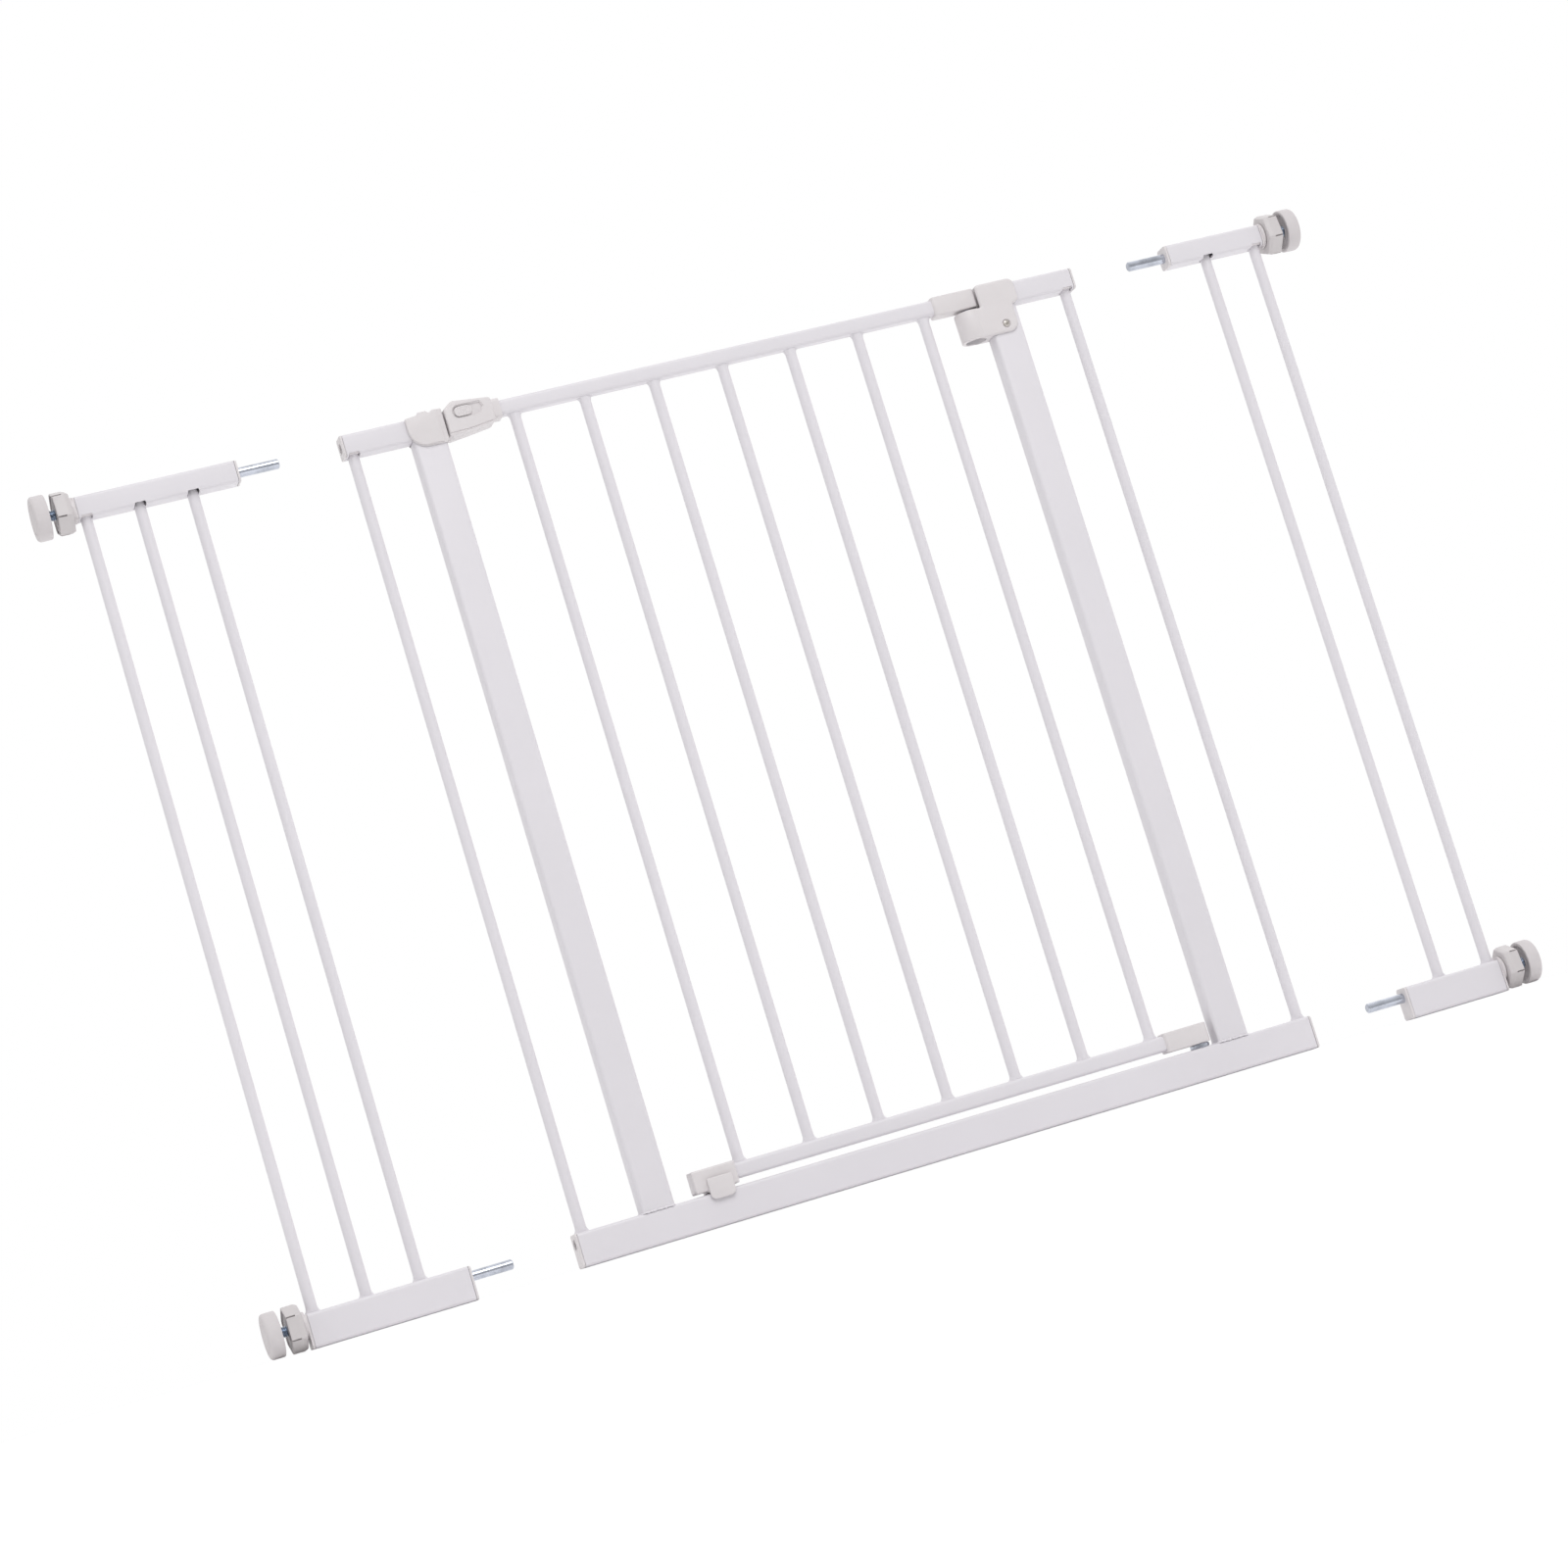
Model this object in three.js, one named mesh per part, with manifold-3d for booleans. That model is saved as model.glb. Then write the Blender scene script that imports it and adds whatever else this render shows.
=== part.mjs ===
// Pressure-fit safety gate with a lift-and-swing door and two plug-in extensions.
// Millimetres, +Z up. X runs along the gate, Y through it, and the front faces -Y.
// The origin is on the floor, under the middle of the main frame. The door is shut, and
// each extension stands clear of the frame with its two pins in line with the sockets.

import * as THREE from 'three';
import { mergeVertices } from 'three/addons/utils/BufferGeometryUtils.js';
import Module from 'manifold-3d';

const wasm = await Module();
wasm.setup();

// ---- driving dimensions ----

const fit = 0.3; // gap kept between pieces that touch
const cornerSteps = 2; // arc fineness of a rounded corner
const roundSides = 20; // sides of a turned piece

// main frame
const frameWidth = 712;
const frameHeight = 760;
const sectionDeep = 20; // depth of every tube of the frame and the extensions
const sillHigh = 30; // oblong tube along the floor
const stubHigh = 20; // square tube from a post's top to the frame's end
const postWide = 30;
const stubLength = 63; // from the frame's end to the post
const sectionCorner = 3;
const sectionWall = 1.5;
const barDiameter = 10;
const barWall = 1;
const sideBarInset = 9; // upright bar's centre from the end of the frame or extension

// sockets, and the pins that plug into them
const pinDiameter = 9;
const pinReach = 37.5;
const pinFit = 0.5; // radial clearance of a pin in its socket
const socketSpare = 1.5; // socket depth beyond the pin's tip
const socketFloor = 3;
const plugFlange = 2;
const plugBody = 16;
const sillAxisDrop = 9; // pin and spindle axis below the top of an oblong tube

// extensions
const leftExtension = {
  side: -1, length: 147, bars: 3, pitch: 47.5, apart: 94, nutTurn: { top: 20, bottom: 29 },
};
const rightExtension = {
  side: 1, length: 101, bars: 2, pitch: 51, apart: 97, nutTurn: { top: 21, bottom: 21 },
};

// pressure spindles
const spindleDiameter = 9.6;
const spindleInside = 46; // thread inside the tube, measured from its end
const nutGap = 2.5; // nut clear of the tube's end plug
const nutThick = 14;
const nutFlats = 36;
const padGap = 6; // bare thread between the nut and the pad
const padThick = 13;
const padDiameter = 40;
const padRim = 4;
const padRecess = 7.5;
const padSeat = 2.5; // depth of the thread's seat in the pad

// door
const railSize = 14;
const railCorner = 3.5;
const doorBars = 7;
const doorBarPitch = 66.5;
const lastBarFromHinge = 44;
const doorClearance = 6; // door's bottom rail above the sill
const hingeFromPost = 15; // hinge axis from the post's inner face
const hingeLift = 9; // how far the door lifts before it swings

// hinges
const hingePinDiameter = 10;
const hingePinFit = 0.35;
const hingePinHead = 16;
const hingePinHeadThick = 4;
const hingePinGrip = 14; // pin inside the door's sleeve
const sleeveWall = 2;
const sleeveLength = 34; // from the sleeve's open end to the hinge axis
const sleeveRound = 3.5;
const barrelDiameter = 27;
const barrelHigh = 28;
const barrelGap = 2.5; // barrel's top below the sleeve
const barrelBore = 20; // counterbore that holds the pin's head
const barrelBoreDeep = 10;
const footWasher = 18; // flange that carries the door's lower sleeve
const bracketWall = 2.7;
const bracketDrop = 47; // plates below the top of the post
const bracketRoof = 3;
const bracketReach = 3; // plates beyond the post, over the top tube
const bracketNeck = 4; // how far the lower half stops short of the post's edge
const screwDiameter = 6;
const screwProud = 0.8;

// latch
const keeperWall = 2.7;
const keeperSide = 2; // wall between the post and the door
const keeperDrop = 28;
const keeperRoof = 4;
const keeperReach = 3;
const keeperRound = 17; // radius of the shield's outer lower corner
const latchGap = 1.5; // door's latch housing clear of the keeper
const housingLength = 44;
const housingDeep = 27;
const housingRise = 7; // above the rail's top, at the keeper's end
const housingFall = 3.5; // loss of height along its length
const housingDrop = 10; // below the rail, at the keeper's end
const housingWall = 2.4;
const collarLength = 8;
const boltWide = 8;
const boltHigh = 6;
const boltThrow = 8; // how far the bolt reaches past the housing
const boltTravel = 8.5;
const boltInside = 4.5; // bolt's inner end from the housing's end
const boltWeb = 2; // wall that joins the bolt to the thumb plate
const thumbLong = 16;
const thumbHigh = 9;
const thumbProud = 0.6;
const thumbRaise = 3; // above the rail's middle

// clip at the foot of the door
const clipLength = 40;
const clipHigh = 20;
const clipDeep = 20;
const clipInset = 21; // clip's end from the post
const forkStart = 11;
const forkLength = 23;
const forkWall = 3;
const forkOverlap = 6; // how far the fork's tabs reach down the sill
const forkSlack = 1;
const forkHigh = 19;

// ---- values worked out from them ----

const halfFrame = frameWidth / 2;
const postOuter = halfFrame - stubLength;
const postInner = postOuter - postWide;
const hingeX = postInner - hingeFromPost;
const spindleRadius = spindleDiameter / 2;
const pinRadius = pinDiameter / 2;
const railTop = frameHeight;
const topRailLow = railTop - railSize;
const bottomRailLow = sillHigh + doorClearance;
const bottomRailTop = bottomRailLow + railSize;
const firstBarX = hingeX - lastBarFromHinge - (doorBars - 1) * doorBarPitch;
const sleeveHalf = railSize / 2 + sleeveWall;
const levels = {
  top: { low: frameHeight - stubHigh, high: stubHigh, axis: frameHeight - stubHigh / 2 },
  bottom: { low: 0, high: sillHigh, axis: sillHigh - sillAxisDrop },
};

// ---- materials ----

function finish(color, roughness, metalness) {
  return () => new THREE.MeshStandardMaterial({ color, roughness, metalness });
}
const paint = finish(0xe6e4e8, 0.35, 0.1);
const plastic = finish(0xe2dedf, 0.5, 0);
const zinc = finish(0xb9c3d2, 0.3, 0.9);

// ---- solids ----

// A geometry as a solid: shared corners are merged and collapsed triangles dropped.
function solidOf(geometry) {
  const plain = geometry.clone();
  plain.deleteAttribute('normal');
  plain.deleteAttribute('uv');
  const merged = mergeVertices(plain, 1e-4);
  const from = merged.index.array;
  const triangles = [];
  for (let i = 0; i < from.length; i += 3) {
    const [a, b, c] = [from[i], from[i + 1], from[i + 2]];
    if (a !== b && b !== c && c !== a) triangles.push(a, b, c);
  }
  const vertProperties = new Float32Array(merged.attributes.position.array);
  const triVerts = new Uint32Array(triangles);
  return new wasm.Manifold(new wasm.Mesh({ numProp: 3, vertProperties, triVerts }));
}

function geometryOf(solid) {
  const mesh = solid.getMesh();
  const geometry = new THREE.BufferGeometry();
  geometry.setAttribute('position', new THREE.BufferAttribute(mesh.vertProperties, 3));
  geometry.setIndex(new THREE.BufferAttribute(mesh.triVerts, 1));
  geometry.computeVertexNormals();
  return geometry;
}

function join(...solids) {
  return solids.reduce((whole, piece) => whole.add(piece));
}

function cut(body, ...tools) {
  return tools.reduce((left, tool) => left.subtract(tool), body);
}

function block([x0, x1], [y0, y1], [z0, z1]) {
  const geometry = new THREE.BoxGeometry(x1 - x0, y1 - y0, z1 - z0);
  geometry.translate((x0 + x1) / 2, (y0 + y1) / 2, (z0 + z1) / 2);
  return solidOf(geometry);
}

// An outline carried along one axis: (y, z) along X, (x, z) along Y, (x, y) along Z.
const carriers = {
  x: { basis: [[0, 1, 0], [0, 0, 1], [1, 0, 0]], sign: 1 },
  y: { basis: [[1, 0, 0], [0, 0, 1], [0, -1, 0]], sign: -1 },
  z: { basis: [[1, 0, 0], [0, 1, 0], [0, 0, 1]], sign: 1 },
};

function carry(shape, axis, from, to, curveSegments = cornerSteps) {
  const options = { depth: to - from, bevelEnabled: false, curveSegments };
  const geometry = new THREE.ExtrudeGeometry(shape, options);
  const columns = carriers[axis].basis.map((v) => new THREE.Vector3(...v));
  geometry.applyMatrix4(new THREE.Matrix4().makeBasis(...columns));
  const start = carriers[axis].sign > 0 ? from : to;
  geometry.translate(...['x', 'y', 'z'].map((name) => (name === axis ? start : 0)));
  return solidOf(geometry);
}

// A rounded oblong from (u0, v0) to (u1, v1).
function oblong([u0, u1], [v0, v1], r) {
  const shape = new THREE.Shape();
  shape.moveTo(u0 + r, v0);
  shape.lineTo(u1 - r, v0);
  shape.absarc(u1 - r, v0 + r, r, -Math.PI / 2, 0, false);
  shape.lineTo(u1, v1 - r);
  shape.absarc(u1 - r, v1 - r, r, 0, Math.PI / 2, false);
  shape.lineTo(u0 + r, v1);
  shape.absarc(u0 + r, v1 - r, r, Math.PI / 2, Math.PI, false);
  shape.lineTo(u0, v0 + r);
  shape.absarc(u0 + r, v0 + r, r, Math.PI, Math.PI * 1.5, false);
  return shape;
}

function polygon(points) {
  return new THREE.Shape(points.map(([u, v]) => new THREE.Vector2(u, v)));
}

// A profile of (radius, height) points turned about an axis through (a, b).
function turned(profile, axis, [a, b], sides = roundSides) {
  const points = profile.map(([r, h]) => new THREE.Vector2(r, h));
  const geometry = new THREE.LatheGeometry(points, sides);
  if (axis === 'x') {
    geometry.rotateZ(-Math.PI / 2);
    geometry.translate(0, a, b);
  } else {
    geometry.rotateX(Math.PI / 2);
    geometry.translate(a, b, 0);
  }
  return solidOf(geometry);
}

function rod(radius, axis, centre, from, to, sides = roundSides) {
  return turned([[0, from], [radius, from], [radius, to], [0, to]], axis, centre, sides);
}

// ---- pieces shared by the frame and the extensions ----

function sectionOutline(level, inset) {
  const half = sectionDeep / 2 - inset;
  const rows = [level.low + inset, level.low + level.high - inset];
  return oblong([-half, half], rows, Math.max(sectionCorner - inset, 0.6));
}

function hollowSection(level, from, to) {
  const outline = sectionOutline(level, 0);
  outline.holes.push(sectionOutline(level, sectionWall));
  return carry(outline, 'x', from, to);
}

// A plug for a tube's end at x, whose outer face looks along side.
function plug(level, x, side, body) {
  const span = (a, b) => [Math.min(a, b), Math.max(a, b)];
  const flange = carry(sectionOutline(level, 0), 'x', ...span(x, x - side * plugFlange));
  const inner = sectionOutline(level, sectionWall + fit);
  const stem = carry(inner, 'x', ...span(x - side * plugFlange / 2, x - side * (plugFlange + body)));
  return join(flange, stem);
}

// A round tube standing between two surfaces.
function upright(x, from, to) {
  const outer = barDiameter / 2;
  const inner = outer - barWall;
  const [low, high] = [from + fit, to - fit];
  const profile = [[inner, low], [outer, low], [outer, high], [inner, high], [inner, low]];
  return turned(profile, 'z', [x, 0], 16);
}

// ---- main frame ----

function sill() {
  const reach = halfFrame - plugFlange - fit;
  const tube = hollowSection(levels.bottom, -reach, reach);
  const hole = rod(hingePinDiameter / 2 + hingePinFit, 'z', [hingeX, 0], sillHigh / 2, sillHigh + 1);
  return cut(tube, hole);
}

function post(side) {
  const [from, to] = side < 0 ? [-postOuter, -postInner] : [postInner, postOuter];
  const half = sectionDeep / 2;
  const outline = oblong([from, to], [-half, half], sectionCorner);
  const inner = [from + sectionWall, to - sectionWall];
  outline.holes.push(oblong(inner, [-half + sectionWall, half - sectionWall], sectionCorner / 2));
  return carry(outline, 'z', sillHigh + fit, frameHeight);
}

// The bolt's way in: open upwards, so that the door can lift with its bolt out.
function boltWindow() {
  const half = boltWide / 2 + 1;
  const low = topRailLow - boltHigh / 2;
  const span = [-postInner - sectionWall * 2, -postInner + keeperSide * 2];
  return block(span, [-half, half], [low, frameHeight + 0.2]);
}

function stub(side) {
  const near = postOuter + fit;
  const far = halfFrame - plugFlange - fit;
  return hollowSection(levels.top, ...(side < 0 ? [-far, -near] : [near, far]));
}

function socketPlug(level, side) {
  const depth = pinReach + socketSpare;
  const body = plug(level, side * halfFrame, side, depth + socketFloor - plugFlange);
  const ends = [side * (halfFrame - depth), side * (halfFrame + 1)].sort((a, b) => a - b);
  return cut(body, rod(pinRadius + pinFit, 'x', [0, level.axis], ...ends));
}

// Cap over the latch post: two shield plates, a roof and a wall towards the door.
function keeper() {
  const inner = sectionDeep / 2 + fit;
  const outer = inner + keeperWall;
  const [left, right] = [-postOuter - keeperReach, -postInner + keeperSide];
  const [low, top] = [frameHeight - keeperDrop, frameHeight + keeperRoof];
  const shield = new THREE.Shape();
  shield.moveTo(left + keeperRound, low);
  shield.lineTo(right, low);
  shield.lineTo(right, top);
  shield.lineTo(left + 2, top);
  shield.lineTo(left, top - 2);
  shield.lineTo(left, low + keeperRound);
  shield.absarc(left + keeperRound, low + keeperRound, keeperRound, Math.PI, Math.PI * 1.5, false);
  const whole = carry(shield, 'y', -outer, outer, 5);
  const room = block([left - 1, -postInner + fit], [-inner, inner], [low - 1, frameHeight + fit]);
  return cut(whole, room, boltWindow());
}

// Cap over the hinge post, in one piece with the barrel that holds the upper pin.
function hingeBracket() {
  const inner = sectionDeep / 2 + fit;
  const outer = inner + bracketWall;
  const left = postInner - fit - bracketWall;
  const top = frameHeight + bracketRoof;
  const low = frameHeight - bracketDrop;
  const waist = frameHeight - stubHigh - fit;
  const [wide, narrow] = [postOuter + bracketReach, postOuter - bracketNeck];
  const outline = new THREE.Shape();
  outline.moveTo(left, low);
  outline.lineTo(narrow - 9, low);
  outline.absarc(narrow - 9, low + 9, 9, -Math.PI / 2, 0, false);
  outline.lineTo(narrow, waist - 4);
  outline.lineTo(wide, waist + 3);
  outline.lineTo(wide, top - 2);
  outline.lineTo(wide - 2, top);
  outline.lineTo(left + 4, top);
  outline.lineTo(left, top - 4);
  const cap = carry(outline, 'y', -outer, outer, 3);
  const barrelTop = topRailLow - sleeveWall - barrelGap;
  const barrelLow = barrelTop - barrelHigh;
  const centre = [hingeX, 0];
  const barrel = rod(barrelDiameter / 2, 'z', centre, barrelLow, barrelTop, 32);
  const room = block([postInner - fit, wide + 1], [-inner, inner], [low - 1, frameHeight + fit]);
  const bore = rod(hingePinDiameter / 2 + hingePinFit, 'z', centre, barrelLow - 1, barrelTop + 1);
  const pocket = rod(barrelBore / 2, 'z', centre, barrelLow - 1, barrelLow + barrelBoreDeep);
  const screw = screwPlace();
  const screwHole = alongY(screwDiameter / 2 + fit, screw, -outer - 1, -inner + 1);
  return cut(join(cap, barrel), room, bore, pocket, screwHole);
}

// A rod along Y through (x, z).
function alongY(radius, [x, z], from, to) {
  const circle = new THREE.Shape();
  circle.absarc(x, z, radius, 0, Math.PI * 2, false);
  return carry(circle, 'y', from, to, 8);
}

function screwPlace() {
  return [postOuter - bracketNeck - 12, frameHeight - bracketDrop + 8];
}

function bracketScrew() {
  const face = -sectionDeep / 2 - fit - bracketWall;
  return alongY(screwDiameter / 2, screwPlace(), face - screwProud, -sectionDeep / 2 - fit);
}

// ---- hinge pins: they turn with the door and stay down when it lifts ----

function upperPin() {
  const sleeveLow = topRailLow - sleeveWall;
  const headTop = sleeveLow - barrelGap - barrelHigh + barrelBoreDeep - fit;
  const r = hingePinDiameter / 2;
  const head = hingePinHead / 2;
  const low = headTop - hingePinHeadThick;
  const tip = sleeveLow + hingePinGrip;
  const profile = [[0, low], [head, low], [head, headTop], [r, headTop], [r, tip], [0, tip]];
  return turned(profile, 'z', [hingeX, 0]);
}

function lowerPin() {
  const sleeveLow = bottomRailLow - sleeveWall;
  const r = hingePinDiameter / 2;
  const tip = sleeveLow + hingePinGrip;
  const foot = sillHigh - hingePinGrip;
  const [low, high] = [sillHigh + fit, sleeveLow - fit];
  const profile = [[0, foot], [r, foot], [r, low], [footWasher / 2, low], [footWasher / 2, high], [r, high],
    [r, tip], [0, tip]];
  return turned(profile, 'z', [hingeX, 0]);
}

// ---- door ----

function rail(low, from, to) {
  const half = railSize / 2;
  const outline = oblong([-half, half], [low, low + railSize], railCorner);
  outline.holes.push(oblong([-half + sectionWall, half - sectionWall],
    [low + sectionWall, low + railSize - sectionWall], railCorner - sectionWall));
  return carry(outline, 'x', from, to);
}

function railEnds() {
  const pinSide = hingeX - hingePinDiameter / 2 - 3;
  return {
    top: [-postInner + keeperSide + latchGap + housingWall + 11, pinSide],
    bottom: [-postInner + clipInset + 6, pinSide],
  };
}

// Room for a rail's end, the clearance all round it included.
function railRoom(low, from, to) {
  const half = railSize / 2 + fit;
  return block([from, to], [-half, half], [low - fit, low + railSize + fit]);
}

// Sleeve on a rail's end, rounded about the hinge axis, with a blind bore for the pin.
function hingeSleeve(low) {
  const from = hingeX - sleeveLength;
  const outline = oblong([from, hingeX + sleeveHalf], [-sleeveHalf, sleeveHalf], sleeveRound);
  const body = carry(outline, 'z', low - sleeveWall, low + railSize + sleeveWall, 8);
  const bore = rod(hingePinDiameter / 2 + hingePinFit, 'z', [hingeX, 0], low - sleeveWall - 1,
    low - sleeveWall + hingePinGrip + 1);
  return cut(body, railRoom(low, from - 1, railEnds().top[1] + fit), bore);
}

function housingPlace() {
  const left = -postInner + keeperSide + latchGap;
  return { left, right: left + housingLength, collar: left + housingLength + collarLength };
}

function housingOutline() {
  const { left, right, collar } = housingPlace();
  const top = railTop + housingRise;
  const shallow = topRailLow - 5.5;
  return polygon([
    [left, topRailLow - housingDrop + 1], [left + 3, topRailLow - housingDrop],
    [left + 20, topRailLow - housingDrop + 2], [right - 6, shallow], [right, shallow + 1],
    [right + 1, topRailLow - 2], [collar, topRailLow - 2],
    [collar, railTop + 2], [right + 1, railTop + 2], [right, top - housingFall - 1],
    [right - 2, top - housingFall], [left + 9, top], [left + 5, top - 1.5], [left, top - 6],
  ]);
}

// The latch's moving piece: a plate in front of the rail, a thumb pad and a square bolt.
const latchPlate = { back: -railSize / 2 - 1, front: -housingDeep / 2 + housingWall + 0.4 };
const boltLow = topRailLow - 1.5;

function thumbCentre() {
  const { left, right } = housingPlace();
  return [(left + right) / 2 - 1 - boltTravel / 2, (railTop + topRailLow) / 2 + thumbRaise];
}

function latchSlider() {
  const { left } = housingPlace();
  const [x, z] = thumbCentre();
  const { back, front } = latchPlate;
  const webSpan = [left + boltInside - boltWeb, left + boltInside];
  const boltSpan = [left - boltThrow, left + boltInside];
  const boltRise = [boltLow, boltLow + boltHigh];
  const half = thumbHigh / 2;
  const plate = block([webSpan[0], x + thumbLong / 2 + 1], [front, back], [boltLow, z + half]);
  const thumbShape = oblong([x - thumbLong / 2, x + thumbLong / 2], [z - half, z + half], half - 0.1);
  const thumb = carry(thumbShape, 'y', -housingDeep / 2 - thumbProud, front + 0.5, 4);
  const web = block(webSpan, [back - 0.5, boltWide / 2], boltRise);
  const bolt = block(boltSpan, [-boltWide / 2, boltWide / 2], boltRise);
  return join(plate, thumb, web, bolt);
}

// Room for the slider over its whole travel.
function sliderRoom() {
  const { left } = housingPlace();
  const [x, z] = thumbCentre();
  const gap = 0.5;
  const { back, front } = latchPlate;
  const half = thumbHigh / 2 + gap;
  const start = left + boltInside - boltWeb - gap;
  const end = x + thumbLong / 2 + 1 + boltTravel + gap;
  const webEnd = left + boltInside + boltTravel + gap;
  const rise = [boltLow - gap, boltLow + boltHigh + gap];
  const side = boltWide / 2 + gap;
  const plate = block([start, end], [front - gap / 2, back + 2], [rise[0], z + half]);
  const web = block([start, webEnd], [back - 1, side], rise);
  const bolt = block([left - 1, webEnd], [-side, side], rise);
  const slotSpan = [x - thumbLong / 2 - gap, x + thumbLong / 2 + gap + boltTravel];
  const slot = oblong(slotSpan, [z - half, z + half], half - 0.1);
  return join(plate, web, bolt, carry(slot, 'y', -housingDeep / 2 - 1, front + 1, 4));
}

function latchShell(front) {
  const half = housingDeep / 2;
  const seam = fit / 2;
  const span = front ? [-half, -seam] : [seam, half];
  const { left, collar } = housingPlace();
  const shell = carry(housingOutline(), 'y', ...span);
  const start = railEnds().top[0] - fit;
  const inside = half - housingWall;
  const hollow = block([left + housingWall, start + 0.5], [-inside, inside],
    [topRailLow - 1, railTop + 1]);
  return cut(shell, railRoom(topRailLow, start, collar + 1), hollow, sliderRoom());
}

// End cap of the door's bottom rail, with a fork that straddles the sill.
function footClip() {
  const left = -postInner + clipInset;
  const right = left + clipLength;
  const top = bottomRailTop + sleeveWall + 0.5;
  const low = top - clipHigh;
  const half = clipDeep / 2;
  const body = carry(oblong([-half, half], [low, top], 2), 'x', left, right);
  const inner = sectionDeep / 2 + forkSlack;
  const forkTop = sillHigh - forkOverlap + forkHigh;
  const forkSpan = [left + forkStart, left + forkStart + forkLength];
  const outer = inner + forkWall;
  const fork = block(forkSpan, [-outer, outer], [sillHigh - forkOverlap, forkTop]);
  const slot = block([left, right], [-inner, inner], [sillHigh - forkOverlap - 1, sillHigh + forkSlack]);
  const hollowEnd = rod(9, 'z', [left - 5, 0], low - 1, top + 1);
  const railSpace = railRoom(bottomRailLow, railEnds().bottom[0] - fit, right + 1);
  return cut(join(body, fork), slot, hollowEnd, railSpace);
}

// ---- extensions and spindles ----

function extensionPlace({ side, length, apart }) {
  const inner = side * (halfFrame + apart);
  return { inner, outer: inner + side * length };
}

function extensionTube(extension, level) {
  const { side } = extension;
  const { inner, outer } = extensionPlace(extension);
  const trim = side * (plugFlange + fit);
  const ends = [inner + trim, outer - trim].sort((a, b) => a - b);
  return hollowSection(level, ...ends);
}

function extensionBarX(extension, index) {
  const { outer } = extensionPlace(extension);
  return outer - extension.side * (sideBarInset + index * extension.pitch);
}

// Steel pin moulded into the plug that closes the extension's inner end.
function couplingPin(extension, level) {
  const { side } = extension;
  const { inner } = extensionPlace(extension);
  const ends = [inner - side * pinReach, inner + side * plugBody].sort((a, b) => a - b);
  return join(plug(level, inner, -side, plugBody), rod(pinRadius, 'x', [0, level.axis], ...ends));
}

function guidePlug(extension, level) {
  const { side } = extension;
  const { outer } = extensionPlace(extension);
  const ends = [outer - side * (plugBody + plugFlange + 1), outer + side].sort((a, b) => a - b);
  return cut(plug(level, outer, side, plugBody), rod(spindleRadius + fit, 'x', [0, level.axis], ...ends));
}

// Distances outwards from the end of the extension.
const nutStart = nutGap;
const padStart = nutStart + nutThick + padGap;
const padFace = padStart + padThick;
const spindleEnd = padStart + padRecess + padSeat - fit;

// A length between two distances outwards from the end of the extension, in world X.
function outwards(extension, from, to) {
  const { outer } = extensionPlace(extension);
  return [outer + extension.side * from, outer + extension.side * to].sort((a, b) => a - b);
}

function spindle(extension, level) {
  const ends = outwards(extension, -spindleInside, spindleEnd);
  return rod(spindleRadius, 'x', [0, level.axis], ...ends, 16);
}

// Hand nut, left where it was last turned to.
function nut(extension, level, turn) {
  const radius = nutFlats / Math.sqrt(3);
  const corners = [...Array(6)].map((_, i) => (turn + i * 60) * Math.PI / 180);
  const outline = polygon(corners.map((a) => [radius * Math.cos(a), level.axis + radius * Math.sin(a)]));
  const body = carry(outline, 'x', ...outwards(extension, nutStart, nutStart + nutThick));
  const bore = outwards(extension, nutStart - 1, nutStart + nutThick + 1);
  return cut(body, rod(spindleRadius + fit, 'x', [0, level.axis], ...bore, 16));
}

function pad(extension, level) {
  const centre = [0, level.axis];
  const r = padDiameter / 2;
  const [low, high] = outwards(extension, padStart, padFace);
  const [round, lip] = [2.5, 1.5];
  const profile = extension.side > 0
    ? [[0, low], [r - lip, low], [r, low + lip], [r, high - round], [r - round, high], [0, high]]
    : [[0, low], [r - round, low], [r, low + round], [r, high - lip], [r - lip, high], [0, high]];
  const disc = turned(profile, 'x', centre, 32);
  const floor = padStart + padRecess;
  const recess = rod(r - padRim, 'x', centre, ...outwards(extension, padStart - 1, floor), 24);
  const seat = rod(spindleRadius + fit, 'x', centre, ...outwards(extension, padStart, floor + padSeat));
  return cut(disc, recess, seat);
}

// ---- assembly ----

const gate = new THREE.Group();

function put(name, solid, material) {
  const mesh = new THREE.Mesh(geometryOf(solid), material());
  mesh.name = name;
  gate.add(mesh);
}

function addFrame() {
  put('bottom_bar', sill(), paint);
  put('left_post', cut(post(-1), boltWindow()), paint);
  put('right_post', post(1), paint);
  put('top_tube_left', stub(-1), paint);
  put('top_tube_right', stub(1), paint);
  const barX = halfFrame - sideBarInset;
  put('side_bar_left', upright(-barX, sillHigh, levels.top.low), paint);
  put('side_bar_right', upright(barX, sillHigh, levels.top.low), paint);
  for (const [row, level] of Object.entries(levels)) {
    put(`socket_plug_${row}_left`, socketPlug(level, -1), plastic);
    put(`socket_plug_${row}_right`, socketPlug(level, 1), plastic);
  }
  put('latch_keeper_cap', keeper(), plastic);
  put('hinge_bracket', hingeBracket(), plastic);
  put('hinge_bracket_screw', bracketScrew(), zinc);
  put('upper_hinge_pin', upperPin(), zinc);
  put('lower_hinge_pin', lowerPin(), zinc);
}

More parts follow.
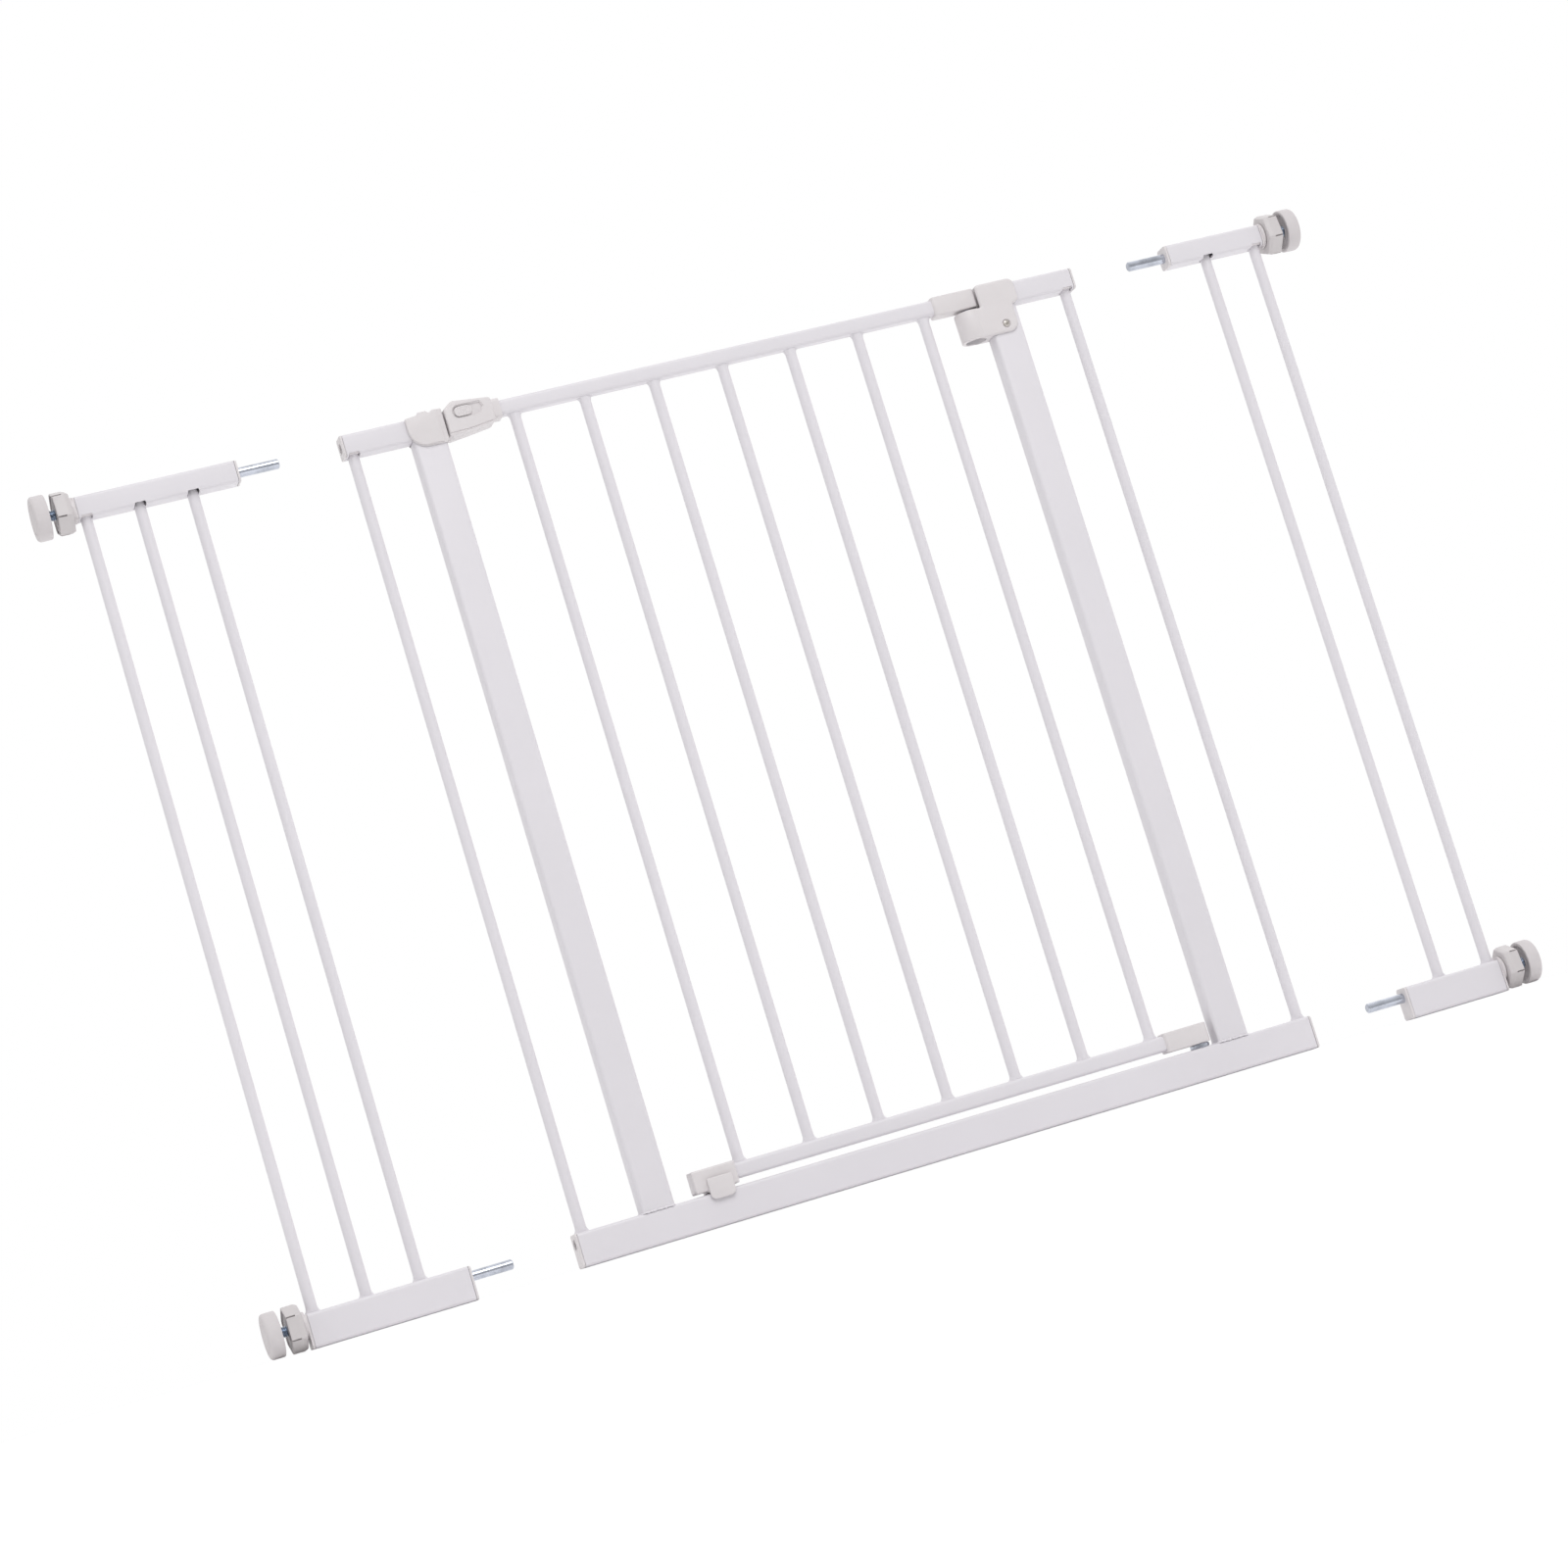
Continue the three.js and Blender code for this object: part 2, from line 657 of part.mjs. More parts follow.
function addDoor() {
  const ends = railEnds();
  put('door_top_rail', rail(topRailLow, ...ends.top), paint);
  put('door_bottom_rail', rail(bottomRailLow, ...ends.bottom), paint);
  for (let i = 0; i < doorBars; i += 1) {
    const x = firstBarX + i * doorBarPitch;
    put(`door_bar_${i + 1}`, upright(x, bottomRailTop, topRailLow), paint);
  }
  put('latch_housing_front', latchShell(true), plastic);
  put('latch_housing_rear', latchShell(false), plastic);
  put('latch_slider', latchSlider(), plastic);
  put('top_hinge_sleeve', hingeSleeve(topRailLow), plastic);
  put('bottom_hinge_sleeve', hingeSleeve(bottomRailLow), plastic);
  put('bottom_clip', footClip(), plastic);
}

function addExtension(name, extension) {
  for (let i = 0; i < extension.bars; i += 1) {
    const bar = upright(extensionBarX(extension, i), sillHigh, levels.top.low);
    put(`${name}_extension_bar_${i + 1}`, bar, paint);
  }
  for (const [row, level] of Object.entries(levels)) {
    put(`${name}_extension_${row}_tube`, extensionTube(extension, level), paint);
    put(`${name}_coupling_pin_${row}`, couplingPin(extension, level), zinc);
    put(`${name}_guide_plug_${row}`, guidePlug(extension, level), plastic);
    put(`${name}_${row}_spindle`, spindle(extension, level), zinc);
    put(`${name}_${row}_nut`, nut(extension, level, extension.nutTurn[row]), plastic);
    put(`${name}_${row}_pad`, pad(extension, level), plastic);
  }
}

addFrame();
addDoor();
addExtension('left', leftExtension);
addExtension('right', rightExtension);

export default gate;
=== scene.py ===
"""Pressure-fit safety gate: visual pieces, finishes and a plain studio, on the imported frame."""

import bmesh
import bpy
import numpy as np
from bpy.props import FloatProperty, FloatVectorProperty, PointerProperty
from mathutils import Matrix, Vector


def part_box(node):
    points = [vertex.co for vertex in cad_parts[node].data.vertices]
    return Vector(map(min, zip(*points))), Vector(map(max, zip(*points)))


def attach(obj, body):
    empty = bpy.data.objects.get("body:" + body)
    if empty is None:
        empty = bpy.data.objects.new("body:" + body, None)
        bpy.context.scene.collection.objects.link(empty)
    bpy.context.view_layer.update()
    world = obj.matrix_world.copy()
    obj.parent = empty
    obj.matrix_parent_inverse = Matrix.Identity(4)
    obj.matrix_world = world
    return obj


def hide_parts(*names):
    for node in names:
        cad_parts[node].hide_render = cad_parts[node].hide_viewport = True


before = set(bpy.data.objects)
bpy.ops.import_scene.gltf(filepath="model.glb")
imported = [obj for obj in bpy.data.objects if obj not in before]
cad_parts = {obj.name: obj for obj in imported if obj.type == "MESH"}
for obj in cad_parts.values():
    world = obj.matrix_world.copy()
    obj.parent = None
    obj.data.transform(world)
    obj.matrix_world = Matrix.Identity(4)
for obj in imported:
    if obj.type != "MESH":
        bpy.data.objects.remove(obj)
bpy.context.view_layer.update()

bl_info = {
    "name": "Safety gate pieces",
    "version": (1, 0, 0),
    "blender": (4, 5, 0),
    "location": "View3D > Sidebar > Gate",
    "description": "Builds the tubes, plastic fittings, spindles and studio of a safety gate",
    "category": "Object",
}

FULL = 2 * np.pi
SIDES = ("left", "right")
ROWS = ("top", "bottom")
AXES = {"x": (1, 2, 0), "y": (0, 2, 1), "z": (0, 1, 2)}  # outline's two axes, then the carried one


# ---- places read from the frame ----


def span(node):
    """Lowest and highest corner of a node, as two arrays."""
    low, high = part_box(node)
    return np.array(low), np.array(high)


def middle(node):
    """Centre of a node's box."""
    low, high = span(node)
    return (low + high) / 2


def way(side):
    """-1 on the left, +1 on the right."""
    return -1 if side == "left" else 1


# ---- outlines: closed loops of points in a plane, counter-clockwise ----


def unit(v):
    """Vectors of length 1."""
    return v / np.linalg.norm(v, axis=-1, keepdims=True)


def outward(loop):
    """Unit normals: the mean of the two sides that meet at each point, turned a quarter clockwise."""
    along = unit(unit(np.roll(loop, -1, 0) - loop) + unit(loop - np.roll(loop, 1, 0)))
    return np.stack([along[:, 1], -along[:, 0]], -1)


class Outline:
    """Polygon whose corners give way to the arcs of their radii that touch both of their sides."""

    def __init__(self, corners, radii, steps=6):
        self.corners = np.asarray(corners, float)
        self.radii = np.broadcast_to(np.asarray(radii, float), len(self.corners))
        self.steps = steps

    def at(self, inset=0.0):
        """Points of the outline moved inwards: the sides move by the inset, a convex arc's radius shrinks by
        it and a hollow one's grows."""
        p = self.corners
        side = unit(np.roll(p, -1, 0) - p)
        normal = np.stack([side[:, 1], -side[:, 0]], -1)
        before = np.roll(normal, 1, 0)
        p = p - (normal + before) * (inset / (1 + (normal * before).sum(1)))[:, None]
        came = np.roll(side, 1, 0)
        convex = np.sign(came[:, 0] * side[:, 1] - came[:, 1] * side[:, 0])
        r = np.maximum(self.radii - inset * convex, 2e-5)
        back, ahead = -came, side
        half = np.arccos(np.clip((back * ahead).sum(1), -1, 1)) / 2
        centre = p + unit(back + ahead) * (r / np.sin(half))[:, None]
        reach = (r / np.tan(half))[:, None]
        first, last = p + back * reach - centre, p + ahead * reach - centre
        start = np.arctan2(first[:, 1], first[:, 0])
        sweep = (np.arctan2(last[:, 1], last[:, 0]) - start + np.pi) % FULL - np.pi
        turn = start[:, None] + sweep[:, None] * np.linspace(0, 1, self.steps)
        arcs = np.stack([np.cos(turn), np.sin(turn)], -1) * r[:, None, None]
        return (centre[:, None] + arcs).reshape(-1, 2)


class Curve:
    """Smooth loop of points, moved inwards along its own normals."""

    def __init__(self, points):
        self.points = points

    def at(self, inset=0.0):
        """Each point moved by the inset against its unit normal."""
        return self.points - outward(self.points) * inset


def oblong(low, high, radius, steps=6):
    """Rectangle with round corners."""
    (a, b), (c, d) = low, high
    return Outline([(a, b), (c, b), (c, d), (a, d)], radius, steps)


def circle(radius, centre=(0, 0), count=48):
    """Points at equal angles round a centre."""
    turn = np.arange(count) * FULL / count
    return np.array(centre) + radius * np.stack([np.cos(turn), np.sin(turn)], -1)


def evenly(loop, count):
    """The same loop with points at equal distances along it."""
    closed = np.vstack([loop, loop[:1]])
    reach = np.concatenate([[0], np.cumsum(np.linalg.norm(np.diff(closed, axis=0), axis=1))])
    at = np.linspace(0, reach[-1], count, endpoint=False)
    return np.stack([np.interp(at, reach, closed[:, i]) for i in (0, 1)], -1)


# ---- rings: outlines carried along an axis ----


def placed(rings, axis, places):
    """Points of flat rings (m, n, 2) put in space, ring i at places[i] along the axis."""
    a, b, c = AXES[axis]
    out = np.empty(rings.shape[:2] + (3,))
    out[..., a], out[..., b] = rings[..., 0], rings[..., 1]
    out[..., c] = np.asarray(places)[:, None]
    return out


def carried(outline, axis, places, insets):
    """Rings of one outline, ring i at places[i] and moved inwards by insets[i]."""
    return placed(np.array([outline.at(inset) for inset in insets]), axis, places)


def rolled(low, high, radius, steps=5):
    """Places and insets of a body whose two ends roll over by a quarter circle."""
    turn = np.linspace(0, np.pi / 2, steps)
    away, inset = radius * (1 - np.cos(turn)), radius * (1 - np.sin(turn))
    return np.concatenate([low + away, (high - away)[::-1]]), np.concatenate([inset, inset[::-1]])


def turned(profile, axis, centre, count=48):
    """Profile of (place, radius) pairs turned about an axis through a centre."""
    profile = np.asarray(profile, float)
    ring = circle(1, count=count)
    return placed(np.array(centre) + ring[None] * profile[:, 1][:, None, None], axis, profile[:, 0])


def pipe(outline, axis, low, high, wall, lip):
    """Hollow section: the outline along the outside, over a round lip, and back along the inside."""
    places, insets = rolled(low, high, lip, 4)
    ends = [high - lip * 0.4, low + lip * 0.4]
    return carried(outline, axis, [*places, *ends], [*insets, wall, wall])


# ---- shells: closed surfaces made from rings ----


def volume(points, quads):
    """Signed volume under a list of four-sided faces."""
    a, b, c, d = (points[quads[:, i]] for i in range(4))
    return (np.cross(a, b) * c).sum() + (np.cross(a, c) * d).sum()


def shell(rings, loop=False, start="flat", end="flat"):
    """Four-sided faces between neighbouring rings, closed by a flat face or a point at each end, or in a
    loop. Where the volume under the faces comes out negative, all of them are turned over, to point out."""
    m, n = rings.shape[:2]
    points = rings.reshape(-1, 3)
    row = np.arange(m if loop else m - 1)[:, None] * n
    here = np.arange(n)[None]
    after = (here + 1) % n
    above = (row + n) % (m * n)
    quads = np.stack([row + here, row + after, above + after, above + here], -1).reshape(-1, 4)
    faces = quads.tolist()
    if not loop:
        first, last = np.arange(n)[::-1], np.arange(n) + (m - 1) * n
        for kind, ring in ((start, first), (end, last)):
            if kind == "flat":
                faces.append(ring.tolist())
            else:
                pole = len(points)
                points = np.vstack([points, points[ring].mean(0)])
                faces += np.stack([ring, np.roll(ring, -1), np.full(n, pole)], -1).tolist()
    centred = points - points.mean(0)
    caps = [f for f in faces if len(f) != 4]
    total = volume(centred, quads)
    for f in caps:
        ring = np.array(f)
        fan = np.stack([np.full(len(f) - 2, ring[0]), ring[1:-1], ring[2:], ring[2:]], -1)
        total += volume(centred, fan)
    if total < 0:
        faces = [f[::-1] for f in faces]
    return points, faces


def box(low, high):
    """Plain block, used only to cut with."""
    loop = np.array([(low[0], low[1]), (high[0], low[1]), (high[0], high[1]), (low[0], high[1])])
    return shell(placed(np.stack([loop, loop]), "z", [low[2], high[2]]))


def rod(radius, axis, centre, low, high, count=40):
    """Plain round bar, used for bores and for the insides of pieces."""
    return shell(turned([(low, radius), (high, radius)], axis, centre, count))


def block(outline, axis, low, high, edge, steps=4):
    """Outline carried from low to high with both ends rolled over by the edge radius."""
    return shell(carried(outline, axis, *rolled(low, high, edge, steps)))


def prism(outline, axis, low, high):
    """Outline carried straight, used only to cut with."""
    return shell(carried(outline, axis, [low, high], [0, 0]))


# ---- objects ----


def mesh_of(name, shells):
    """One mesh from several closed shells, with doubled points merged."""
    points, faces, base = [], [], 0
    for p, f in shells:
        points.append(p)
        faces += [[i + base for i in face] for face in f]
        base += len(p)
    mesh = bpy.data.meshes.new(name)
    mesh.from_pydata(np.concatenate(points).tolist(), [], faces)
    work = bmesh.new()
    work.from_mesh(mesh)
    bmesh.ops.remove_doubles(work, verts=work.verts, dist=1e-7)
    work.to_mesh(mesh)
    work.free()
    return mesh


def carved(name, shells, cutters):
    """Mesh of the shells with the cutters taken away by an exact boolean."""
    body = bpy.data.objects.new(name, mesh_of(name, shells))
    tool = bpy.data.objects.new(name + "_cutter", mesh_of(name + "_cutter", cutters))
    for o in (body, tool):
        bpy.context.scene.collection.objects.link(o)
    cut = body.modifiers.new("cut", "BOOLEAN")
    cut.operation, cut.solver, cut.object = "DIFFERENCE", "EXACT", tool
    cut.use_self = True
    bpy.context.view_layer.update()
    made = bpy.data.meshes.new_from_object(body.evaluated_get(bpy.context.evaluated_depsgraph_get()))
    bpy.data.objects.remove(body)
    bpy.data.objects.remove(tool)
    return made


def piece(name, shells, finish, body, nodes, cutters=(), sharp=32):
    """Object at the origin with its place in its mesh, riding on a body and standing for its nodes."""
    mesh = carved(name, shells, cutters) if cutters else mesh_of(name, shells)
    mesh.name = name
    mesh.materials.clear()
    mesh.materials.append(finish)
    mesh.shade_smooth()
    mesh.set_sharp_from_angle(angle=np.radians(sharp))
    made = bpy.data.objects.new(name, mesh)
    bpy.context.scene.collection.objects.link(made)
    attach(made, body)
    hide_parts(*nodes)
    return made


# ---- finishes ----


class Wire:
    """A node's output; arithmetic on it adds Math nodes."""

    def __init__(self, recipe, socket):
        self.recipe, self.socket = recipe, socket

    def maths(self, operation, *values):
        """Math node on the values, this one among them."""
        inputs = {i: v for i, v in enumerate(values)}
        return self.recipe.node("ShaderNodeMath", {"operation": operation}, inputs)

    def __add__(self, other):
        return self.maths("ADD", self, other)

    def __sub__(self, other):
        return self.maths("SUBTRACT", self, other)

    def __rsub__(self, other):
        return self.maths("SUBTRACT", other, self)

    def __mul__(self, other):
        return self.maths("MULTIPLY", self, other)

    __radd__, __rmul__ = __add__, __mul__

    def at_least(self, value):
        """The value, or the given one if that is larger."""
        return self.maths("MAXIMUM", self, value)

    def wave(self):
        """Sine of the value."""
        return self.maths("SINE", self)

    def above(self, limit, soft):
        """0 below the limit, rising to 1 over a soft width."""
        settings = {"interpolation_type": "SMOOTHSTEP"}
        return self.recipe.node("ShaderNodeMapRange", settings, {0: self, 1: limit, 2: limit + soft})


class Recipe:
    """The nodes of a material or world being written. Every node comes from node()."""

    def __init__(self, owner):
        self.owner = owner
        owner.use_nodes = True
        self.tree = owner.node_tree
        self.tree.nodes.clear()

    def node(self, kind, settings=None, inputs=None, output=0):
        """Adds a node, makes its settings first, then sets or links its sockets. Gives one of its outputs,
        or nothing for an output node."""
        made = self.tree.nodes.new(kind)
        for key, value in (settings or {}).items():
            setattr(made, key, value)
        for key, value in (inputs or {}).items():
            if isinstance(value, Wire):
                self.tree.links.new(value.socket, made.inputs[key])
            else:
                made.inputs[key].default_value = value
        return None if output is None else Wire(self, made.outputs[output])

    def place(self):
        """Coordinates of the surface's point in the object's own space."""
        return self.node("ShaderNodeTexCoord", None, None, "Object")

    def stretched(self, where, scale):
        """Coordinates scaled along each axis."""
        return self.node("ShaderNodeMapping", None, {"Vector": where, "Scale": scale})

    def noise(self, where, size, detail=2.0, rough=0.5):
        """Noise whose lumps are about the given size in metres."""
        inputs = {"Vector": where, "Scale": 1 / size, "Detail": detail, "Roughness": rough}
        return self.node("ShaderNodeTexNoise", None, inputs)

    def tint(self, factor, a, b):
        """Colour from a to b by a factor; each is a wire or three numbers."""
        a, b = (c if isinstance(c, Wire) else (*c, 1) for c in (a, b))
        return self.node("ShaderNodeMix", {"data_type": "RGBA"}, {0: factor, 6: a, 7: b}, 2)

    def bump(self, height, strength, distance, normal=None):
        """Normal bent by a height, on top of another bump if one is given."""
        inputs = {"Height": height, "Strength": strength, "Distance": distance}
        if normal:
            inputs["Normal"] = normal
        return self.node("ShaderNodeBump", None, inputs)

    def surface(self, **sockets):
        """Principled shader with the sockets given, sent to the output."""
        names = {k.replace("_", " ").title().replace("Ior", "IOR"): v for k, v in sockets.items()}
        shader = self.node("ShaderNodeBsdfPrincipled", None, names)
        self.node("ShaderNodeOutputMaterial", None, {"Surface": shader}, None)
        return self.owner


def shade(colour, factor):
    """Colour multiplied by a factor, no brighter than 1."""
    return tuple(min(1.0, c * factor) for c in colour)


def powder_coat(look):
    """Baked white paint: fine orange peel, slow drifts in tone, fine specks and long upright scuffs."""
    r = Recipe(bpy.data.materials.new("powder_coat"))
    where = r.place()
    peel = r.noise(where, look.peel_size, 3.0, 0.55)
    drift = r.noise(where, 0.11, 3.0)
    specks = r.noise(where, 0.0035, 5.0, 0.7).above(0.69, 0.07)
    scuffs = r.noise(r.stretched(where, (60, 60, 3)), 0.22, 6.0, 0.75).above(0.66, 0.05)
    tone = r.tint(drift, shade(look.paint_colour, 0.965), shade(look.paint_colour, 1.03))
    worn = r.tint(specks * 0.35 + scuffs * 0.2, tone, shade(look.paint_colour, 0.86))
    rough = 0.4 + peel * 0.1 + scuffs * 0.12
    skin = r.bump(peel, 0.2, 0.0001)
    skin = r.bump(specks, 0.4, 0.00005, skin)
    return r.surface(base_color=worn, roughness=rough, normal=skin, specular_ior_level=0.5,
                     coat_weight=0.12, coat_roughness=0.3)


def moulded_plastic(look, colour, name):
    """Off-white moulding: fine spark-worn grain, faint flow marks and a dull sheen."""
    r = Recipe(bpy.data.materials.new(name))
    where = r.place()
    grain = r.noise(where, look.grain_size, 4.0, 0.6)
    flow = r.noise(r.stretched(where, (1, 1, 2.6)), 0.03, 4.0)
    tone = r.tint(flow, shade(colour, 0.96), shade(colour, 1.03))
    pits = r.noise(where, 0.0011, 2.0).above(0.63, 0.1)
    worn = r.tint(pits * 0.12, tone, shade(colour, 0.82))
    skin = r.bump(grain, 0.14, 0.00009)
    return r.surface(base_color=worn, roughness=0.36 + grain * 0.16, normal=skin, specular_ior_level=0.5)


def pad_rubber(look):
    """Soft grip moulding of the pads: matt, with a coarse grain and rubbed high spots."""
    r = Recipe(bpy.data.materials.new("pad_rubber"))
    where = r.place()
    grain = r.noise(where, look.grain_size * 1.6, 4.0, 0.65)
    rub = r.noise(where, 0.009, 3.0)
    tone = r.tint(rub, shade(look.pad_colour, 0.95), shade(look.pad_colour, 1.03))
    skin = r.bump(grain, 0.16, 0.0001)
    return r.surface(base_color=tone, roughness=0.55 + rub * 0.15, normal=skin, specular_ior_level=0.4)


def zinc_plate(colour, name, rough, lines):
    """Bright zinc plate: blue passivation in drifting bands over fine turning lines."""
    r = Recipe(bpy.data.materials.new(name))
    where = r.place()
    cloud = r.noise(where, 0.012, 4.0, 0.6)
    along = r.node("ShaderNodeSeparateXYZ", None, {0: where}, 0)
    turning = (along * (FULL / lines) + cloud * 4.0).wave()
    tone = r.tint(cloud.above(0.35, 0.35), colour, shade(colour, 0.72))
    dulled = r.noise(where, 0.003, 3.0).above(0.6, 0.1)
    skin = r.bump(turning + cloud, 0.06, 0.00002)
    return r.surface(base_color=tone, metallic=1.0 - dulled * 0.12, roughness=rough + dulled * 0.12,
                     normal=skin)


FINISHES = {
    "powder_coat": powder_coat,
    "white_plastic": lambda look: moulded_plastic(look, look.plastic_colour, "white_plastic"),
    "nut_plastic": lambda look: moulded_plastic(look, look.nut_colour, "nut_plastic"),
    "pad_rubber": pad_rubber,
    "zinc_pins": lambda look: zinc_plate(look.zinc_colour, "zinc_pins", 0.16, 0.0004),
    "zinc_thread": lambda look: zinc_plate(look.thread_colour, "zinc_thread", 0.24, 0.0003),
    "dull_screw": lambda look: zinc_plate(look.screw_colour, "dull_screw", 0.4, 0.0006),
}


def finish(name):
    """The named material, made once."""
    return bpy.data.materials.get(name) or FINISHES[name](bpy.context.scene.gate_look)


# ---- tubes and bars ----


def tube(node, axis, sizes):
    """Hollow rounded section that fills a node's box, its mouths open."""
    low, high = span(node)
    a, b, c = AXES[axis]
    outline = oblong(low[[a, b]], high[[a, b]], sizes.tube_corner, 8)
    return shell(pipe(outline, axis, low[c], high[c], sizes.tube_wall, 0.0004), loop=True)


def bar_hole(x, z, sizes):
    """Cutter for the punched hole in the underside of a top tube, long enough to break into its front
    corner: a round-cornered oblong carried straight up through the wall and the corner."""
    half = sizes.bar_radius + 0.0003
    past_front = span("bottom_bar")[0][1] - 0.0008
    loop = oblong((x - half, past_front), (x + half, half), half * 0.55, 8)
    return prism(loop, "z", z - 0.004, z + sizes.tube_wall + 0.0012)


def bead(loop, z, size):
    """Weld bead: a small circle carried round an outline, swelling and shrinking as it goes."""
    n = len(loop)
    run = np.linspace(0, 1, n, endpoint=False)
    swell = size * (0.75 + 0.18 * np.sin(FULL * 17 * run) + 0.1 * np.sin(FULL * 29 * run + 1))
    turn = np.arange(10) * FULL / 10
    out = outward(loop)
    flat = loop[None] + out[None] * (swell[None] * np.cos(turn)[:, None])[..., None]
    rise = z + swell[None] * np.sin(turn)[:, None]
    return shell(np.concatenate([flat, rise[..., None]], -1), loop=True)


def round_bar(x, low, high, sizes, foot, head):
    """Round bar whose radius swells by a parabola where it is welded, most towards the left and right. Its
    end follows the round corner of the tube that it meets: foot and head are that tube's half width and
    corner, or None for a plain end."""
    turn = np.arange(32) * FULL / 32
    c, s = np.cos(turn), np.sin(turn)
    r, weld = sizes.bar_radius, sizes.weld_size

    def drop(tube_face):
        """How far the tube's round corner falls away under each point of the bar's rim."""
        if tube_face is None:
            return np.zeros_like(turn)
        half, corner = tube_face
        over = np.clip(np.abs(r * s) - (half - corner), 0, corner * 0.98)
        return corner - np.sqrt(corner**2 - over**2)

    share = np.array([0, 0.15, 0.35, 0.6, 1.0])
    near = share * weld * 2
    flare = weld * (1 - share) ** 2
    side = np.abs(c) ** 3
    steps = np.linspace(0, 1, 24)[1:-1]
    rows = []
    for away, out in zip(near, flare * bool(foot)):
        rows.append((low - drop(foot) * (1 - away / near[-1]) + away, r + out * side))
    for z in low + near[-1] + steps * (high - low - 2 * near[-1]):
        rows.append((np.full_like(turn, z), np.full_like(turn, r)))
    for away, out in zip(near[::-1], flare[::-1] * bool(head)):
        rows.append((high + drop(head) * (1 - away / near[-1]) - away, r + out * side))
    rings = np.array([np.stack([x + k * c, k * s, z], -1) for z, k in rows])
    return shell(rings)


# ---- operators ----


class GateOperator:
    """Common reading of the sizes."""

    bl_options = {"REGISTER", "UNDO"}

    def execute(self, context):
        self.build(context.scene.gate_sizes)
        return {"FINISHED"}


class GATE_OT_frame_tubes(GateOperator, bpy.types.Operator):
    """Build the sill, the two posts and the two top tubes with their welds"""

    bl_idname = "gate.frame_tubes"
    bl_label = "Frame tubes"

    def build(self, sizes):
        coat = finish("powder_coat")
        sill_top = span("bottom_bar")[1][2]
        piece("sill_tube", [tube("bottom_bar", "x", sizes)], coat, "frame", ["bottom_bar"])
        for side in SIDES:
            post, stub = f"{side}_post", f"top_tube_{side}"
            low, high = span(post)
            stub_low = span(stub)[0][2]
            # the latch post is open towards the bolt, from a little below the top tube
            opening = (high[0] - 0.006, -0.005, stub_low - 0.004), (high[0] + 0.003, 0.005, high[2] + 0.01)
            cutters = [box(*opening)] if side == "left" else ()
            piece(f"post_{side}", [tube(post, "z", sizes)], coat, "frame", [post], cutters)
            foot = evenly(oblong(low[:2], high[:2], sizes.tube_corner).at(), 160)
            weld = bead(foot, sill_top, sizes.weld_size * 0.5)
            piece(f"post_weld_{side}", [weld], coat, "frame", [])
            hole = bar_hole(middle(f"side_bar_{side}")[0], stub_low, sizes)
            shells = [tube(stub, "x", sizes)]
            piece(f"stub_tube_{side}", shells, coat, "frame", [stub], [hole])


class GATE_OT_upright_bars(GateOperator, bpy.types.Operator):
    """Build the frame's two side bars and the bars of both extensions"""

    bl_idname = "gate.upright_bars"
    bl_label = "Upright bars"

    def build(self, sizes):
        coat = finish("powder_coat")
        foot = (span("bottom_bar")[1][1], sizes.tube_corner)
        groups = {"side_bars": ("frame", [f"side_bar_{s}" for s in SIDES])}
        for side in SIDES:
            body = f"{side}_extension"
            bars = [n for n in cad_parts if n.startswith(f"{body}_bar_")]
            groups[f"{body}_bars"] = (body, sorted(bars))
        for name, (body, nodes) in groups.items():
            shells = []
            for node in nodes:
                low, high = span(node)
                shells.append(round_bar(middle(node)[0], low[2] - 0.0004, high[2] + 0.004, sizes, foot, None))
            piece(name, shells, coat, body, nodes)


class GATE_OT_door_frame(GateOperator, bpy.types.Operator):
    """Build the door's two rails and seven bars"""

    bl_idname = "gate.door_frame"
    bl_label = "Door rails and bars"

    def build(self, sizes):
        coat = finish("powder_coat")
        for row in ROWS:
            node = f"door_{row}_rail"
            low, high = span(node)
            outline = oblong(low[1:], high[1:], sizes.rail_corner, 8)
            rail = shell(pipe(outline, "x", low[0], high[0], sizes.tube_wall, 0.0004), loop=True)
            piece(f"rail_{row}", [rail], coat, "door", [node])
        bars = sorted(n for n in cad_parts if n.startswith("door_bar_"))
        low, high = span("door_bottom_rail")[1][2], span("door_top_rail")[0][2]
        face = (span("door_top_rail")[1][1], sizes.rail_corner)
        shells = [round_bar(middle(n)[0], low, high, sizes, face, face) for n in bars]
        piece("door_bars", shells, coat, "door", bars)


def end_plug(low, high, face, sign, reach, corner):
    """End plug of a tube: the section between low and high carried along the tube, first as a flange whose
    rim rolls over by a quarter circle, then as a slimmer core. face is its outer face, sign points
    outwards, and reach is its whole length."""
    turn = np.linspace(0, np.pi / 2, 5)
    edge, flange, core = 0.0006, 0.002, 0.0018
    places = [face - sign * edge * (1 - np.cos(a)) for a in turn]
    insets = [edge * (1 - np.sin(a)) for a in turn]
    places += [face - sign * p for p in (flange, flange, reach - edge, reach)]
    insets += [0, core, core, core + edge]
    return shell(carried(oblong(low[1:], high[1:], corner, 8), "x", places, insets))


